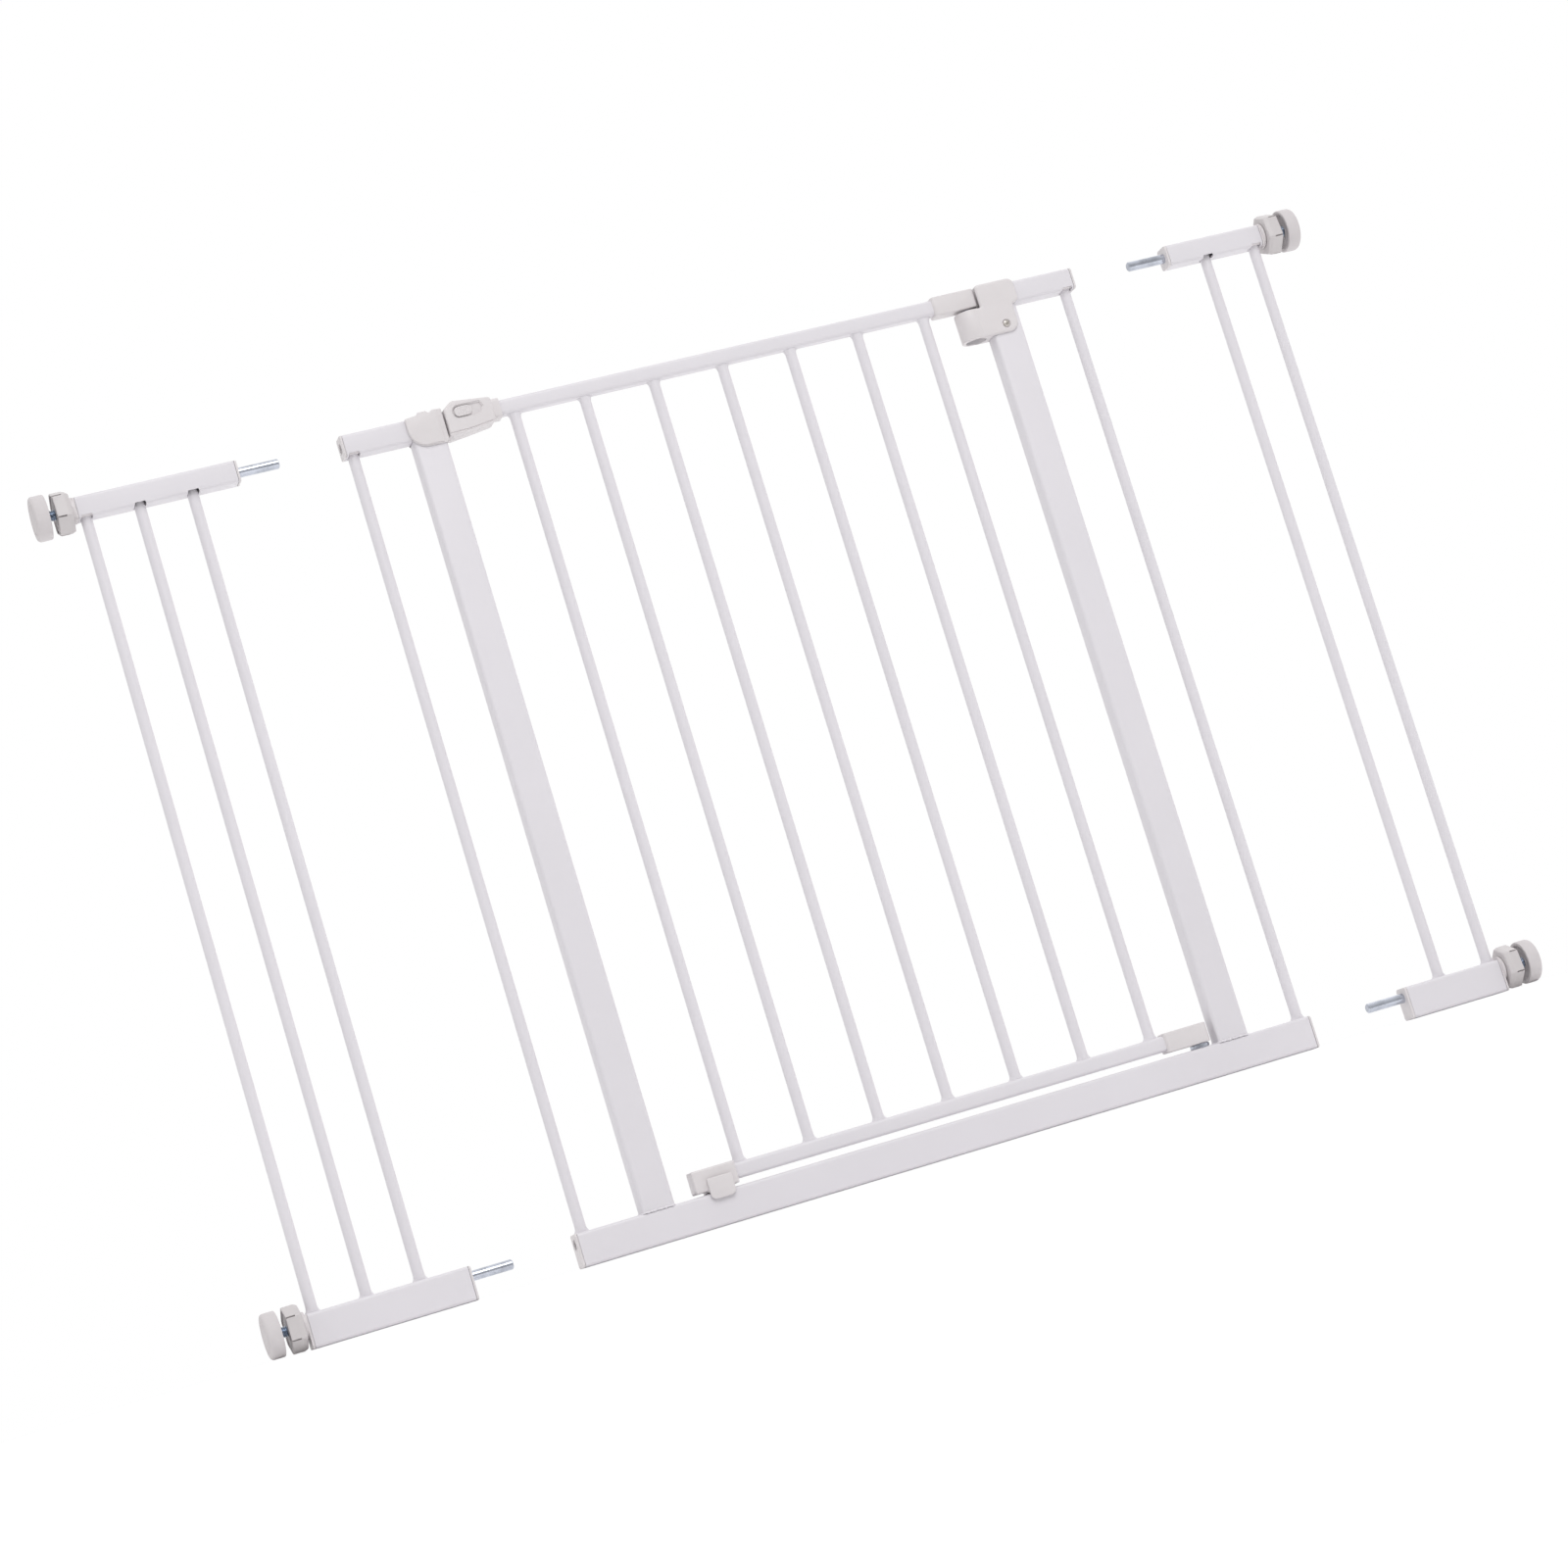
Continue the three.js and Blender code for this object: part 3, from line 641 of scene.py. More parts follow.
class GATE_OT_end_plugs(GateOperator, bpy.types.Operator):
    """Build the socket plugs of the frame and the guide plugs of the extensions"""

    bl_idname = "gate.end_plugs"
    bl_label = "End plugs"

    def build(self, sizes):
        kinds = (("socket_plug_{row}_{side}", "frame", "socket", sizes.pin_radius + 0.0005, 0.0385),
                 ("{side}_guide_plug_{row}", "{side}_extension", "guide", sizes.thread_radius + 0.0003, 0.05))
        for side in SIDES:
            for row in ROWS:
                for node, body, name, bore, deep in kinds:
                    node, body = node.format(side=side, row=row), body.format(side=side)
                    low, high = span(node)
                    sign = way(side)
                    face, inner = (high[0], low[0]) if sign > 0 else (low[0], high[0])
                    z = middle(f"{side}_{row}_spindle")[2]
                    plug = end_plug(low, high, face, sign, abs(face - inner), sizes.tube_corner)
                    hole = rod(bore, "x", (0, z), *sorted((face + sign * 0.01, face - sign * deep)))
                    shells = [plug] if name == "socket" else [plug, self.boss(face, sign, z, bore)]
                    piece(f"{name}_{row}_{side}", shells, finish("white_plastic"), body, [node],
                          [hole])

    def boss(self, face, sign, z, bore):
        """Low round boss that the nut turns against, with a rolled rim, turned about the spindle."""
        r = 0.012
        profile = [(face - sign * 0.0005, bore), (face - sign * 0.0005, r), (face + sign * 0.0016, r),
                   (face + sign * 0.0020, r - 0.0004), (face + sign * 0.0020, bore)]
        return shell(turned(profile, "x", (0, z), 48), loop=True)


class GATE_OT_extension_tubes(GateOperator, bpy.types.Operator):
    """Build the extensions' tubes and their coupling pins"""

    bl_idname = "gate.extension_tubes"
    bl_label = "Extension tubes and pins"

    def build(self, sizes):
        coat, zinc, plastic = finish("powder_coat"), finish("zinc_pins"), finish("white_plastic")
        for side in SIDES:
            body, sign = f"{side}_extension", way(side)
            bars = [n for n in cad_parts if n.startswith(f"{body}_bar_")]
            for row in ROWS:
                node = f"{body}_{row}_tube"
                low, high = span(node)
                cutters = [bar_hole(middle(b)[0], low[2], sizes) for b in bars] if row == "top" else ()
                piece(f"{body}_{row}", [tube(node, "x", sizes)], coat, body, [node], cutters)
                pin = f"{side}_coupling_pin_{row}"
                tip, root = sorted((span(pin)[0][0], span(pin)[1][0]), reverse=sign < 0)
                axis_z = middle(f"{side}_{row}_spindle")[2]
                mouth = low[0] if sign > 0 else high[0]
                face = mouth - sign * 0.0023
                r = sizes.pin_radius
                profile = [(face + sign * 0.012, r), (face, r), (tip + sign * 0.0012, r),
                           (tip + sign * 0.0004, r - 0.0007), (tip, r - 0.0013)]
                turned_pin = shell(turned(profile, "x", (0, axis_z), 40))
                piece(f"{side}_pin_{row}", [turned_pin], zinc, body, [pin])
                plug = end_plug(low, high, face, -sign, abs(root - face), sizes.tube_corner)
                piece(f"{side}_pin_plug_{row}", [plug], plastic, body, [])


class GATE_OT_spindles(GateOperator, bpy.types.Operator):
    """Build the four threaded spindles with their wall pads"""

    bl_idname = "gate.spindles"
    bl_label = "Spindles and pads"

    def build(self, sizes):
        zinc, rubber = finish("zinc_thread"), finish("pad_rubber")
        for side in SIDES:
            for row in ROWS:
                sign, body = way(side), f"spindle_{side}_{row}"
                low, high = span(f"{side}_{row}_spindle")
                axis_z = middle(f"{side}_{row}_spindle")[2]
                piece(f"{body}_thread", [self.thread(low[0], high[0], axis_z, sizes)], zinc, body,
                      [f"{side}_{row}_spindle"], sharp=60)
                low, high = span(f"{side}_{row}_pad")
                face, back = (high[0], low[0]) if sign > 0 else (low[0], high[0])
                piece(f"{body}_pad", [self.pad(face, back, sign, axis_z, sizes)], rubber, body,
                      [f"{side}_{row}_pad"], sharp=40)

    def thread(self, low, high, z, sizes):
        """Right-hand thread: the radius falls from crest to root with the distance from a helix of the pitch,
        and fades to a chamfer at both ends."""
        pitch, crest = sizes.thread_pitch, sizes.thread_radius
        count = 28
        x = np.linspace(low, high, int((high - low) / pitch * 8) + 1)[:, None]
        turn = (np.arange(count) * FULL / count)[None]
        phase = (x / pitch - turn / FULL) % 1
        valley = np.abs(phase - 0.5) * 2
        depth = sizes.thread_depth * np.clip(valley * 1.25 - 0.15, 0, 1)
        end = np.minimum(x - low, high - x)
        r = np.minimum(crest - depth, crest - 0.0012 + np.clip(end, 0, 0.0012))
        rings = np.stack([np.broadcast_to(x, r.shape), r * np.cos(turn), z + r * np.sin(turn)], -1)
        return shell(rings)

    def pad(self, face, back, sign, z, sizes):
        """Profile turned about the spindle: flat outer face with one shallow ring, a quarter circle for the
        rim, and a cup behind."""
        r, lip, stem = sizes.pad_radius, 0.0028, sizes.thread_radius
        turn = np.linspace(0, np.pi / 2, 7)
        outer = [(face - sign * lip * (1 - np.sin(a)), r - lip * (1 - np.cos(a))) for a in turn[::-1]]
        front = [(0, 0), (0, r * 0.6), (0.0004, r * 0.615), (0.0004, r * 0.66), (0, r * 0.675)]
        cup = [(0.0012, r), (0.0003, r - 0.0004), (0, r - 0.0012), (0, r - 0.003), (0.0008, r - 0.004),
               (0.0028, r - 0.0046), (0.0034, r - 0.0056), (0.0034, stem + 0.0026), (0.0028, stem + 0.002),
               (0.0028, stem + 0.0004), (0.01, stem + 0.0004), (0.01, 0)]
        profile = [*((face - sign * deep, reach) for deep, reach in front), *outer,
                   *((back + sign * deep, reach) for deep, reach in cup)]
        return shell(turned(profile, "x", (0, z), 72), start="point", end="point")


class GATE_OT_nuts(GateOperator, bpy.types.Operator):
    """Build the four hand nuts"""

    bl_idname = "gate.nuts"
    bl_label = "Hand nuts"

    def build(self, sizes):
        plastic = finish("nut_plastic")
        for side in SIDES:
            for row in ROWS:
                node, sign = f"{side}_{row}_nut", way(side)
                low, high = span(node)
                inner, outer = (low[0], high[0]) if sign > 0 else (high[0], low[0])
                turn = sizes.nut_turns[SIDES.index(side) * 2 + ROWS.index(row)]
                rings = self.rings(inner, outer, sign, middle(f"{side}_{row}_spindle")[2], turn, sizes)
                piece(f"nut_{side}_{row}", [shell(rings, loop=True)], plastic, f"nut_{side}_{row}", [node],
                      sharp=22)

    def rings(self, inner, outer, sign, z, rest, sizes):
        """Hexagon with cut corners whose radius is a function of the angle; each corner is split by a slit
        over the outer part, the inner end is a bevelled collar, and the outer face is sunk round the bore."""
        corner_at = (np.arange(6) * FULL / 6)[:, None]
        slit_half = 0.034  # share of a sixth of the turn
        arm = np.array([slit_half - 0.0001, slit_half, 0.06, 0.1, 0.18, 0.28, 0.4])
        near = np.concatenate([[-0.5], -arm[::-1], [0], arm])
        turn = (corner_at + near * FULL / 6).ravel()
        inside = (turn + FULL / 12) % (FULL / 6) - FULL / 12
        flat = sizes.nut_flats / 2
        sharp = flat / np.cos(FULL / 12 - np.abs(inside))
        limit = flat / np.cos(FULL / 12) - sizes.nut_corner
        radius = np.minimum(sharp, limit)
        slit = np.tile((np.abs(near) < slit_half) * 1.0, 6)
        long = abs(outer - inner)
        bore = sizes.thread_radius + 0.0002
        collar = [(0, 0.90), (0.0004, 0.93), (0.0014, 0.955), (0.0026, 0.98), (0.0034, 0.995), (0.0042, 1)]
        slitted = [(long * 0.42 + 0.0001, 0.0), (long - 0.0010, 0.0), (long - 0.0003, 0.0003), (long, 0.0010)]
        rim = [(long, 0.92), (long - 0.0004, 0.91), (long - 0.0012, 0.90)]
        hub = [(long - 0.0014, 0.0050), (long - 0.0008, 0.0040), (long - 0.0006, 0.0034), (long - 0.0006, 0),
               (0, 0)]
        rows = [(at, radius * share) for at, share in (*collar, (long * 0.42, 1.0))]
        rows += [(at, radius - shrink - slit * sizes.slit_depth) for at, shrink in slitted]
        rows += [(at, radius * share) for at, share in rim]
        rows += [(at, np.full_like(radius, bore + more)) for at, more in hub]
        ring = np.stack([np.cos(turn + rest), np.sin(turn + rest)], -1)
        flat_rings = np.array([np.array([0, z]) + ring * reach[:, None] for _, reach in rows])
        return placed(flat_rings, "x", [inner + sign * at for at, _ in rows])


class GATE_OT_latch_keeper(GateOperator, bpy.types.Operator):
    """Build the cap on the left post that takes the latch bolt"""

    bl_idname = "gate.latch_keeper"
    bl_label = "Latch keeper"

    def build(self, sizes):
        low, high = span("latch_keeper_cap")
        post_low, post_high = span("left_post")
        bottom, top, left, right = low[2], high[2], low[0], high[0]
        strip = right - 0.0052
        corners = [
            (left, bottom), (right, bottom), (right, top - 0.0004), (left + 0.0262, top - 0.0004),
            (left + 0.0242, top - 0.0018), (left + 0.0226, top - 0.0018), (left + 0.0205, top),
            (left + 0.0135, top), (left + 0.0115, top - 0.0022), (left, top - 0.0034),
        ]
        radii = [0.017, 0.004, 0.0016, 0.0008, 0.0006, 0.0005, 0.001, 0.001, 0.0014, 0.0022]
        depth, edge = high[1], sizes.plastic_edge
        body = block(Outline(corners, radii, 8), "y", -depth + 0.0018, depth - 0.0018, edge * 0.6)
        corners = [
            (left + 0.0004, bottom + 0.0012), (strip, bottom + 0.0012), (strip, top - 0.0006),
            (left + 0.0262, top - 0.0006), (left + 0.0242, top - 0.0024), (left + 0.0226, top - 0.0024),
            (left + 0.0205, top - 0.0004), (left + 0.0135, top - 0.0004), (left + 0.0115, top - 0.0028),
            (left + 0.0004, top - 0.0044),
        ]
        radii = [0.0160, 0.0012, 0.0008, 0.0008, 0.0004, 0.0004, 0.001, 0.001, 0.0012, 0.0016]
        face = block(Outline(corners, radii, 8), "y", -depth, depth, 0.0008)
        gap = 0.0003
        inner, outer = post_low - gap, post_high + gap
        stub_low, window = span("top_tube_left")[0][2], span("door_top_rail")[0][2] - 0.0035
        room = [
            box((inner[0], inner[1], bottom - 0.03), outer),
            box((left - 0.01, inner[1], stub_low - gap), (post_low[0] + 0.002, *outer[1:])),
            box((post_high[0] - 0.002, -0.0048, window), (right + 0.01, 0.0048, top + 0.01)),
        ]
        plastic = finish("white_plastic")
        piece("keeper_cap", [body], plastic, "frame", ["latch_keeper_cap"], room)
        piece("keeper_face", [face], plastic, "frame", [], room)


class GATE_OT_latch(GateOperator, bpy.types.Operator):
    """Build the two halves of the latch housing and the thumb slider"""

    bl_idname = "gate.latch"
    bl_label = "Latch housing and slider"

    def build(self, sizes):
        plastic = finish("white_plastic")
        low, high = span("latch_housing_front")
        rail_low, rail_high = span("door_top_rail")
        left, collar, depth = low[0], high[0], -low[1]
        bottom, top, rail = low[2], high[2], rail_low[2]
        right = collar - 0.008
        outline = [
            (left, bottom + 0.001), (left + 0.003, bottom), (left + 0.02, bottom + 0.002),
            (right - 0.006, rail - 0.0055), (right, rail - 0.0045), (right, top - 0.0045),
            (right - 0.002, top - 0.0035), (left + 0.0095, top), (left + 0.007, top - 0.001),
            (left, top - 0.006),
        ]
        radii = [0.0006, 0.0012, 0.012, 0.002, 0.0012, 0.0012, 0.0015, 0.0014, 0.0014, 0.0012]
        housing = Outline(outline, radii, 6)
        front, rear = (self.half(housing, side, depth, sizes) for side in (-1, 1))
        travel = sizes.latch_travel
        x, z = (left + right - travel) / 2 - 0.001, (rail + rail_high[2]) / 2 + 0.003
        groove = self.groove(left, right, bottom, rail, -depth)
        sleeve = oblong((-0.0092, rail - 0.0022), (0.0092, rail_high[2] + 0.0022), 0.0035, 6)
        collar_shell = block(sleeve, "x", right - 0.004, collar, 0.0009)
        rail_room = box((rail_low[0] - 0.0006, -0.0072, rail - 0.0002), (0, 0.0072, rail_high[2] + 0.0002))
        under, over = rail - 0.002, rail + 0.0052  # round the bolt
        room = [
            rail_room,
            box((left + 0.002, -0.0106, rail - 0.0028), (x + 0.0188, -0.006, z + 0.0058)),
            box((left - 0.002, -0.0045, under), (left + 0.0145, 0.0045, over)),
            box((left + 0.002, -0.0106, under), (left + 0.0145, 0.0045, over)),
            box((x - 0.0063, -depth - 0.002, z - 0.0022), (x - 0.0007 + travel, -0.009, z + 0.0022)),
        ]
        piece("latch_front", [front], plastic, "door", ["latch_housing_front"],
              [*room, self.scoop(x, z, travel, -depth), groove], sharp=36)
        piece("latch_rear", [rear], plastic, "door", ["latch_housing_rear"], room)
        piece("latch_collar", [collar_shell], plastic, "door", [], [rail_room])
        self.slider(x, z, left, rail, plastic)

    def half(self, housing, side, depth, sizes):
        """Half of the housing: its outline carried from a fine bevel at the seam to a rolled outer face."""
        places, insets = rolled(0, depth, sizes.plastic_edge * 1.3, 6)
        places = [0.00015, 0.0005, *places[6:]]
        insets = [0.00035, 0.0, *insets[6:]]
        return shell(carried(housing, "y", [side * p for p in places], insets))

    def scoop(self, x, z, travel, face):
        """Cutter for the thumb recess, as long as the thumb and its travel and pointed at its right: its
        mouth flares by a quarter circle, and its floor is level."""
        middle_x, long, high = x + travel / 2, 0.0088 + travel / 2, 0.0052
        left, right = middle_x - long, middle_x + long
        corners = [(left, z - high), (right - 0.003, z - high), (right + 0.0012, z + 0.0008),
                   (right - 0.001, z + high), (left, z + high)]
        recess = Outline(corners, [0.0044, 0.004, 0.0008, 0.0008, 0.0044], 10)
        turn = np.linspace(0, np.pi / 2, 6)
        flare = 0.0011
        places = [face - 0.001, *(face + flare * np.sin(turn)), face + 0.0019, face + 0.0022]
        insets = [-flare, *(-flare * np.cos(turn)), 0.0, 0.0004]
        return shell(carried(recess, "y", places, insets))

    def groove(self, left, right, bottom, rail, face):
        """Cutter for the fine step above the tapered underside: a band along the face's lower edge, carried
        straight into the face."""
        band = Outline([
            (left - 0.002, bottom - 0.002), (left + 0.02, bottom + 0.0002), (right - 0.006, rail - 0.0072),
            (right + 0.002, rail - 0.0066), (right - 0.004, rail - 0.0040), (left + 0.02, bottom + 0.0036),
            (left - 0.002, bottom + 0.0030),
        ], 0.0004, 4)
        return prism(band, "y", face - 0.001, face + 0.0009)

    def slider(self, x, z, left, rail, plastic):
        """Thumb pad with a rolled rim and a dished face, its five grip ribs, its neck and plate, and the bolt
        with the web that holds it: oblongs carried straight, each with rolled ends."""
        bolt_tip, face = span("latch_slider")[0][:2]
        pad = oblong((x - 0.008, z - 0.0045), (x + 0.008, z + 0.0045), 0.0044, 12)
        rings = carried(pad, "y", *rolled(face, -0.0118, 0.0008, 4))
        dish = carried(pad, "y", [face + 0.0003, face], [0.0016, 0.0012])
        parts = [shell(np.concatenate([dish, rings]))]
        for start in x - 0.0042 + np.arange(5) * 0.0021:
            rib = oblong((start, z - 0.0026), (start + 0.0008, z + 0.0026), 0.00038)
            parts.append(block(rib, "y", face, face + 0.0008, 0.0002))
        under, over = rail - 0.0015, rail + 0.0045
        neck = (x - 0.006, z - 0.002), (x - 0.001, z + 0.002), 0.0006
        plate = (left + 0.0025, under + 0.0001), (x + 0.009, z + 0.0045), 0.001
        bolt = (-0.004, under), (0.004, over), 0.0007
        web = (left + 0.0025, under), (left + 0.0044, over), 0.0003
        for section, axis, start, end, edge in (
                (neck, "y", -0.0122, -0.009, 0.0002), (plate, "y", -0.0104, -0.0085, 0.0003),
                (bolt, "x", bolt_tip, left + 0.0044, 0.0007), (web, "y", -0.009, 0.0035, 0.0002)):
            parts.append(block(oblong(*section), axis, start, end, edge))
        piece("thumb_slider", parts, plastic, "latch", ["latch_slider"])


class GATE_OT_hinge(GateOperator, bpy.types.Operator):
    """Build the hinge bracket, its screw and the two hinge pins"""

    bl_idname = "gate.hinge"
    bl_label = "Hinge bracket and pins"

    def build(self, sizes):
        plastic = finish("white_plastic")
        low, high = span("hinge_bracket")
        post_low, post_high = span("right_post")
        stub_low = span("top_tube_right")[0][2]
        pin_low = span("upper_hinge_pin")[0][2]
        axis_x = middle("upper_hinge_pin")[0]
        barrel, bore, head_top = axis_x - low[0], sizes.hinge_bore, pin_low + 0.0042
        barrel_low, barrel_top = low[2] + 0.0005, span("top_hinge_sleeve")[0][2] - 0.0025
        right, top, foot, depth = high[0], high[2], axis_x + 0.0093, high[1] - 0.0005
        corners = [
            (axis_x + 0.002, low[2]), (right - 0.007, low[2]), (right - 0.007, stub_low - 0.002),
            (right, stub_low + 0.0015), (right, top), (foot, top), (foot, barrel_top),
            (axis_x + 0.002, barrel_top),
        ]
        radii = [0.001, 0.009, 0.002, 0.0025, 0.0062, 0.0035, 0.0012, 0.0008]
        plates = block(Outline(corners, radii, 8), "y", -depth, depth, sizes.cap_edge, 8)
        e, rim = 0.0011, barrel - 0.0035
        profile = [
            (barrel_low, rim), (barrel_low, barrel - e), (barrel_low + e * 0.3, barrel - e * 0.3),
            (barrel_low + e, barrel), (barrel_top - e, barrel), (barrel_top - e * 0.3, barrel - e * 0.3),
            (barrel_top, barrel - e), (barrel_top, bore), (head_top, bore), (head_top, rim),
        ]
        tube_shell = shell(turned(profile, "z", (axis_x, 0), 64), loop=True)
        gap, side, below = 0.0003, 0.0103, low[2] - 0.013
        room = [
            box((post_low[0] - gap, -side, below), (post_high[0] + gap, side, post_high[2] + gap)),
            box((post_high[0] - 0.002, -side, stub_low - gap), (right + 0.01, side, post_high[2] + gap)),
            rod(rim - 0.0001, "z", (axis_x, 0), below, head_top + 0.0001, 64),
            rod(bore, "z", (axis_x, 0), below, barrel_top + 0.0085),
            box((foot - 0.01, -0.0102, barrel_top), (post_low[0] - 0.003, 0.0102, top + 0.01)),
            self.counterbore(-depth),
        ]
        piece("hinge_plates", [plates], plastic, "frame", ["hinge_bracket"], room)
        piece("hinge_barrel", [tube_shell], plastic, "frame", [])
        self.screw(finish("dull_screw"))
        self.pins(axis_x, finish("zinc_pins"))

    def counterbore(self, face):
        """Cutter for the screw's sunk seat: a stepped cone turned about the screw, its mouth flared."""
        x, z = middle("hinge_bracket_screw")[[0, 2]]
        profile = [(face - 0.001, 0.0044), (face, 0.0044), (face + 0.0004, 0.0039), (face + 0.0011, 0.0037)]
        return shell(turned(profile, "y", (x, z), 40))

    def screw(self, plate):
        """Pan head whose height falls with a power of the radius, with a cross sunk where either of the two
        distances from its arms is small."""
        low, high = span("hinge_bracket_screw")
        x, z = middle("hinge_bracket_screw")[[0, 2]]
        r = (high[0] - low[0]) / 2
        reach = np.linspace(0, 1, 13)[:, None]
        turn = (np.arange(64) * FULL / 64)[None]
        u, v = reach * np.cos(turn), reach * np.sin(turn)
        cross = np.clip(1 - np.minimum(np.abs(u), np.abs(v)) / 0.16, 0, 1)
        cross = cross * np.clip((0.62 - reach) / 0.12, 0, 1)
        depth = low[1] + 0.0009 * reach**2.6 + 0.0006 * np.minimum(cross * 2, 1)
        rings = np.stack([x + r * u, depth, z + r * v], -1)
        back = rings[-1:].copy()
        back[..., 1] = high[1]
        piece("bracket_screw", [shell(np.concatenate([rings[1:], back]), start="point")], plate, "frame",
              ["hinge_bracket_screw"])

    def pins(self, x, zinc):
        """Profiles turned about the hinge axis: the upper pin has a flat head with a dimple below it, the
        lower one a washer flange on the sill."""
        low, high = span("upper_hinge_pin")
        head, r, bottom, top = (high[0] - low[0]) / 2, 0.005, low[2], high[2]
        c = 0.0005
        upper = [(bottom + 0.0012, 0.0), (bottom + 0.0012, 0.0022), (bottom, 0.0034), (bottom, head - c),
                 (bottom + c, head), (bottom + 0.0035, head), (bottom + 0.004, head - c), (bottom + 0.004, r),
                 (top - 0.001, r), (top, r - 0.001), (top, 0.0)]
        low, high = span("lower_hinge_pin")
        flange, start, end = (high[0] - low[0]) / 2, low[2], high[2]
        seat = span("bottom_bar")[1][2] + 0.0003
        over = seat + 0.0034
        lower = [(start, 0.0), (start, r - 0.001), (start + 0.001, r), (seat, r), (seat, flange - c),
                 (seat + c, flange), (over - c, flange), (over, flange - c), (over, r), (end - 0.001, r),
                 (end, r - 0.001), (end, 0.0)]
        for row, profile in (("upper", upper), ("lower", lower)):
            made = shell(turned(profile, "z", (x, 0), 48), start="point", end="point")
            piece(f"pin_{row}", [made], zinc, "hinge_pins", [f"{row}_hinge_pin"])


class GATE_OT_door_fittings(GateOperator, bpy.types.Operator):
    """Build the two hinge sleeves and the clip at the foot of the door"""

    bl_idname = "gate.door_fittings"
    bl_label = "Sleeves and foot clip"

    def build(self, sizes):
        plastic = finish("white_plastic")
        axis_x = middle("upper_hinge_pin")[0]
        for row in ROWS:
            node = f"{row}_hinge_sleeve"
            low, high = span(node)
            loop = oblong(low[:2], high[:2], 0.0034, 10)
            pin_top = span("upper_hinge_pin" if row == "top" else "lower_hinge_pin")[1][2]
            bore = [rod(sizes.hinge_bore, "z", (axis_x, 0), low[2] - 0.002, pin_top + 0.0004)]
            body = block(loop, "z", low[2], high[2], sizes.plastic_edge * 1.1)
            piece(f"sleeve_{row}", [body], plastic, "door", [node], bore)
        self.clip(plastic)

    def clip(self, plastic):
        """Clip: an oblong carried along the rail whose left end is pushed in by a circular arc, with a lip on
        top and a tab on each side that reaches down past the sill."""
        low, high = span("bottom_clip")
        sill_top = span("bottom_bar")[1][2]
        rail_low, rail_high = span("door_bottom_rail")
        left, right = low[0], high[0]
        depth, top = 0.010, high[2]
        base = top - 0.020
        loop = Curve(evenly(oblong((-depth, base), (depth, top), 0.002, 8).at(), 160))
        places, insets = rolled(left, right, 0.0009, 4)
        extra = np.linspace(left + 0.0015, right - 0.0015, 14)
        places = np.concatenate([places[:4], extra, places[4:]])
        insets = np.concatenate([insets[:4], extra * 0, insets[4:]])
        rings = carried(loop, "x", places, insets)
        hollow = np.clip(np.sqrt(np.clip(0.009**2 - rings[..., 1] ** 2, 0, None)) - 0.005, 0, None)
        rings[..., 0] += hollow * np.clip(1 - (rings[..., 0] - left) / (right - left), 0, 1)
        body = shell(rings)
        lip = oblong((left + 0.0005, top - 0.003), (left + 0.0065, top), 0.0009)
        tab = Outline([(left + 0.011, low[2]), (left + 0.034, low[2]), (left + 0.034, top - 0.0095),
                       (left + 0.011, top - 0.0095)], [0.005, 0.005, 0.001, 0.001], 8)
        outside = high[1]
        tabs = [block(tab, "y", near, far, 0.0009) for near, far in ((-outside, -0.0109), (0.0109, outside))]
        bridge = oblong((-outside + 0.0004, sill_top + 0.0012), (outside - 0.0004, top - 0.0105), 0.0012)
        tabs.append(block(bridge, "x", left + 0.0112, left + 0.0338, 0.0007))
        room = [box((left - 0.01, -0.0108, 0.0), (right + 0.01, 0.0108, sill_top + 0.001)),
                box((left + 0.0055, -0.0072, rail_low[2] - 0.0002),
                    (right + 0.01, 0.0072, rail_high[2] + 0.0002))]
        piece("foot_clip", [body], plastic, "door", ["bottom_clip"], room)
        piece("foot_lip", [block(lip, "y", -0.0093, 0.0093, 0.0006)], plastic, "door", [])
        piece("foot_fork", tabs, plastic, "door", [], room)


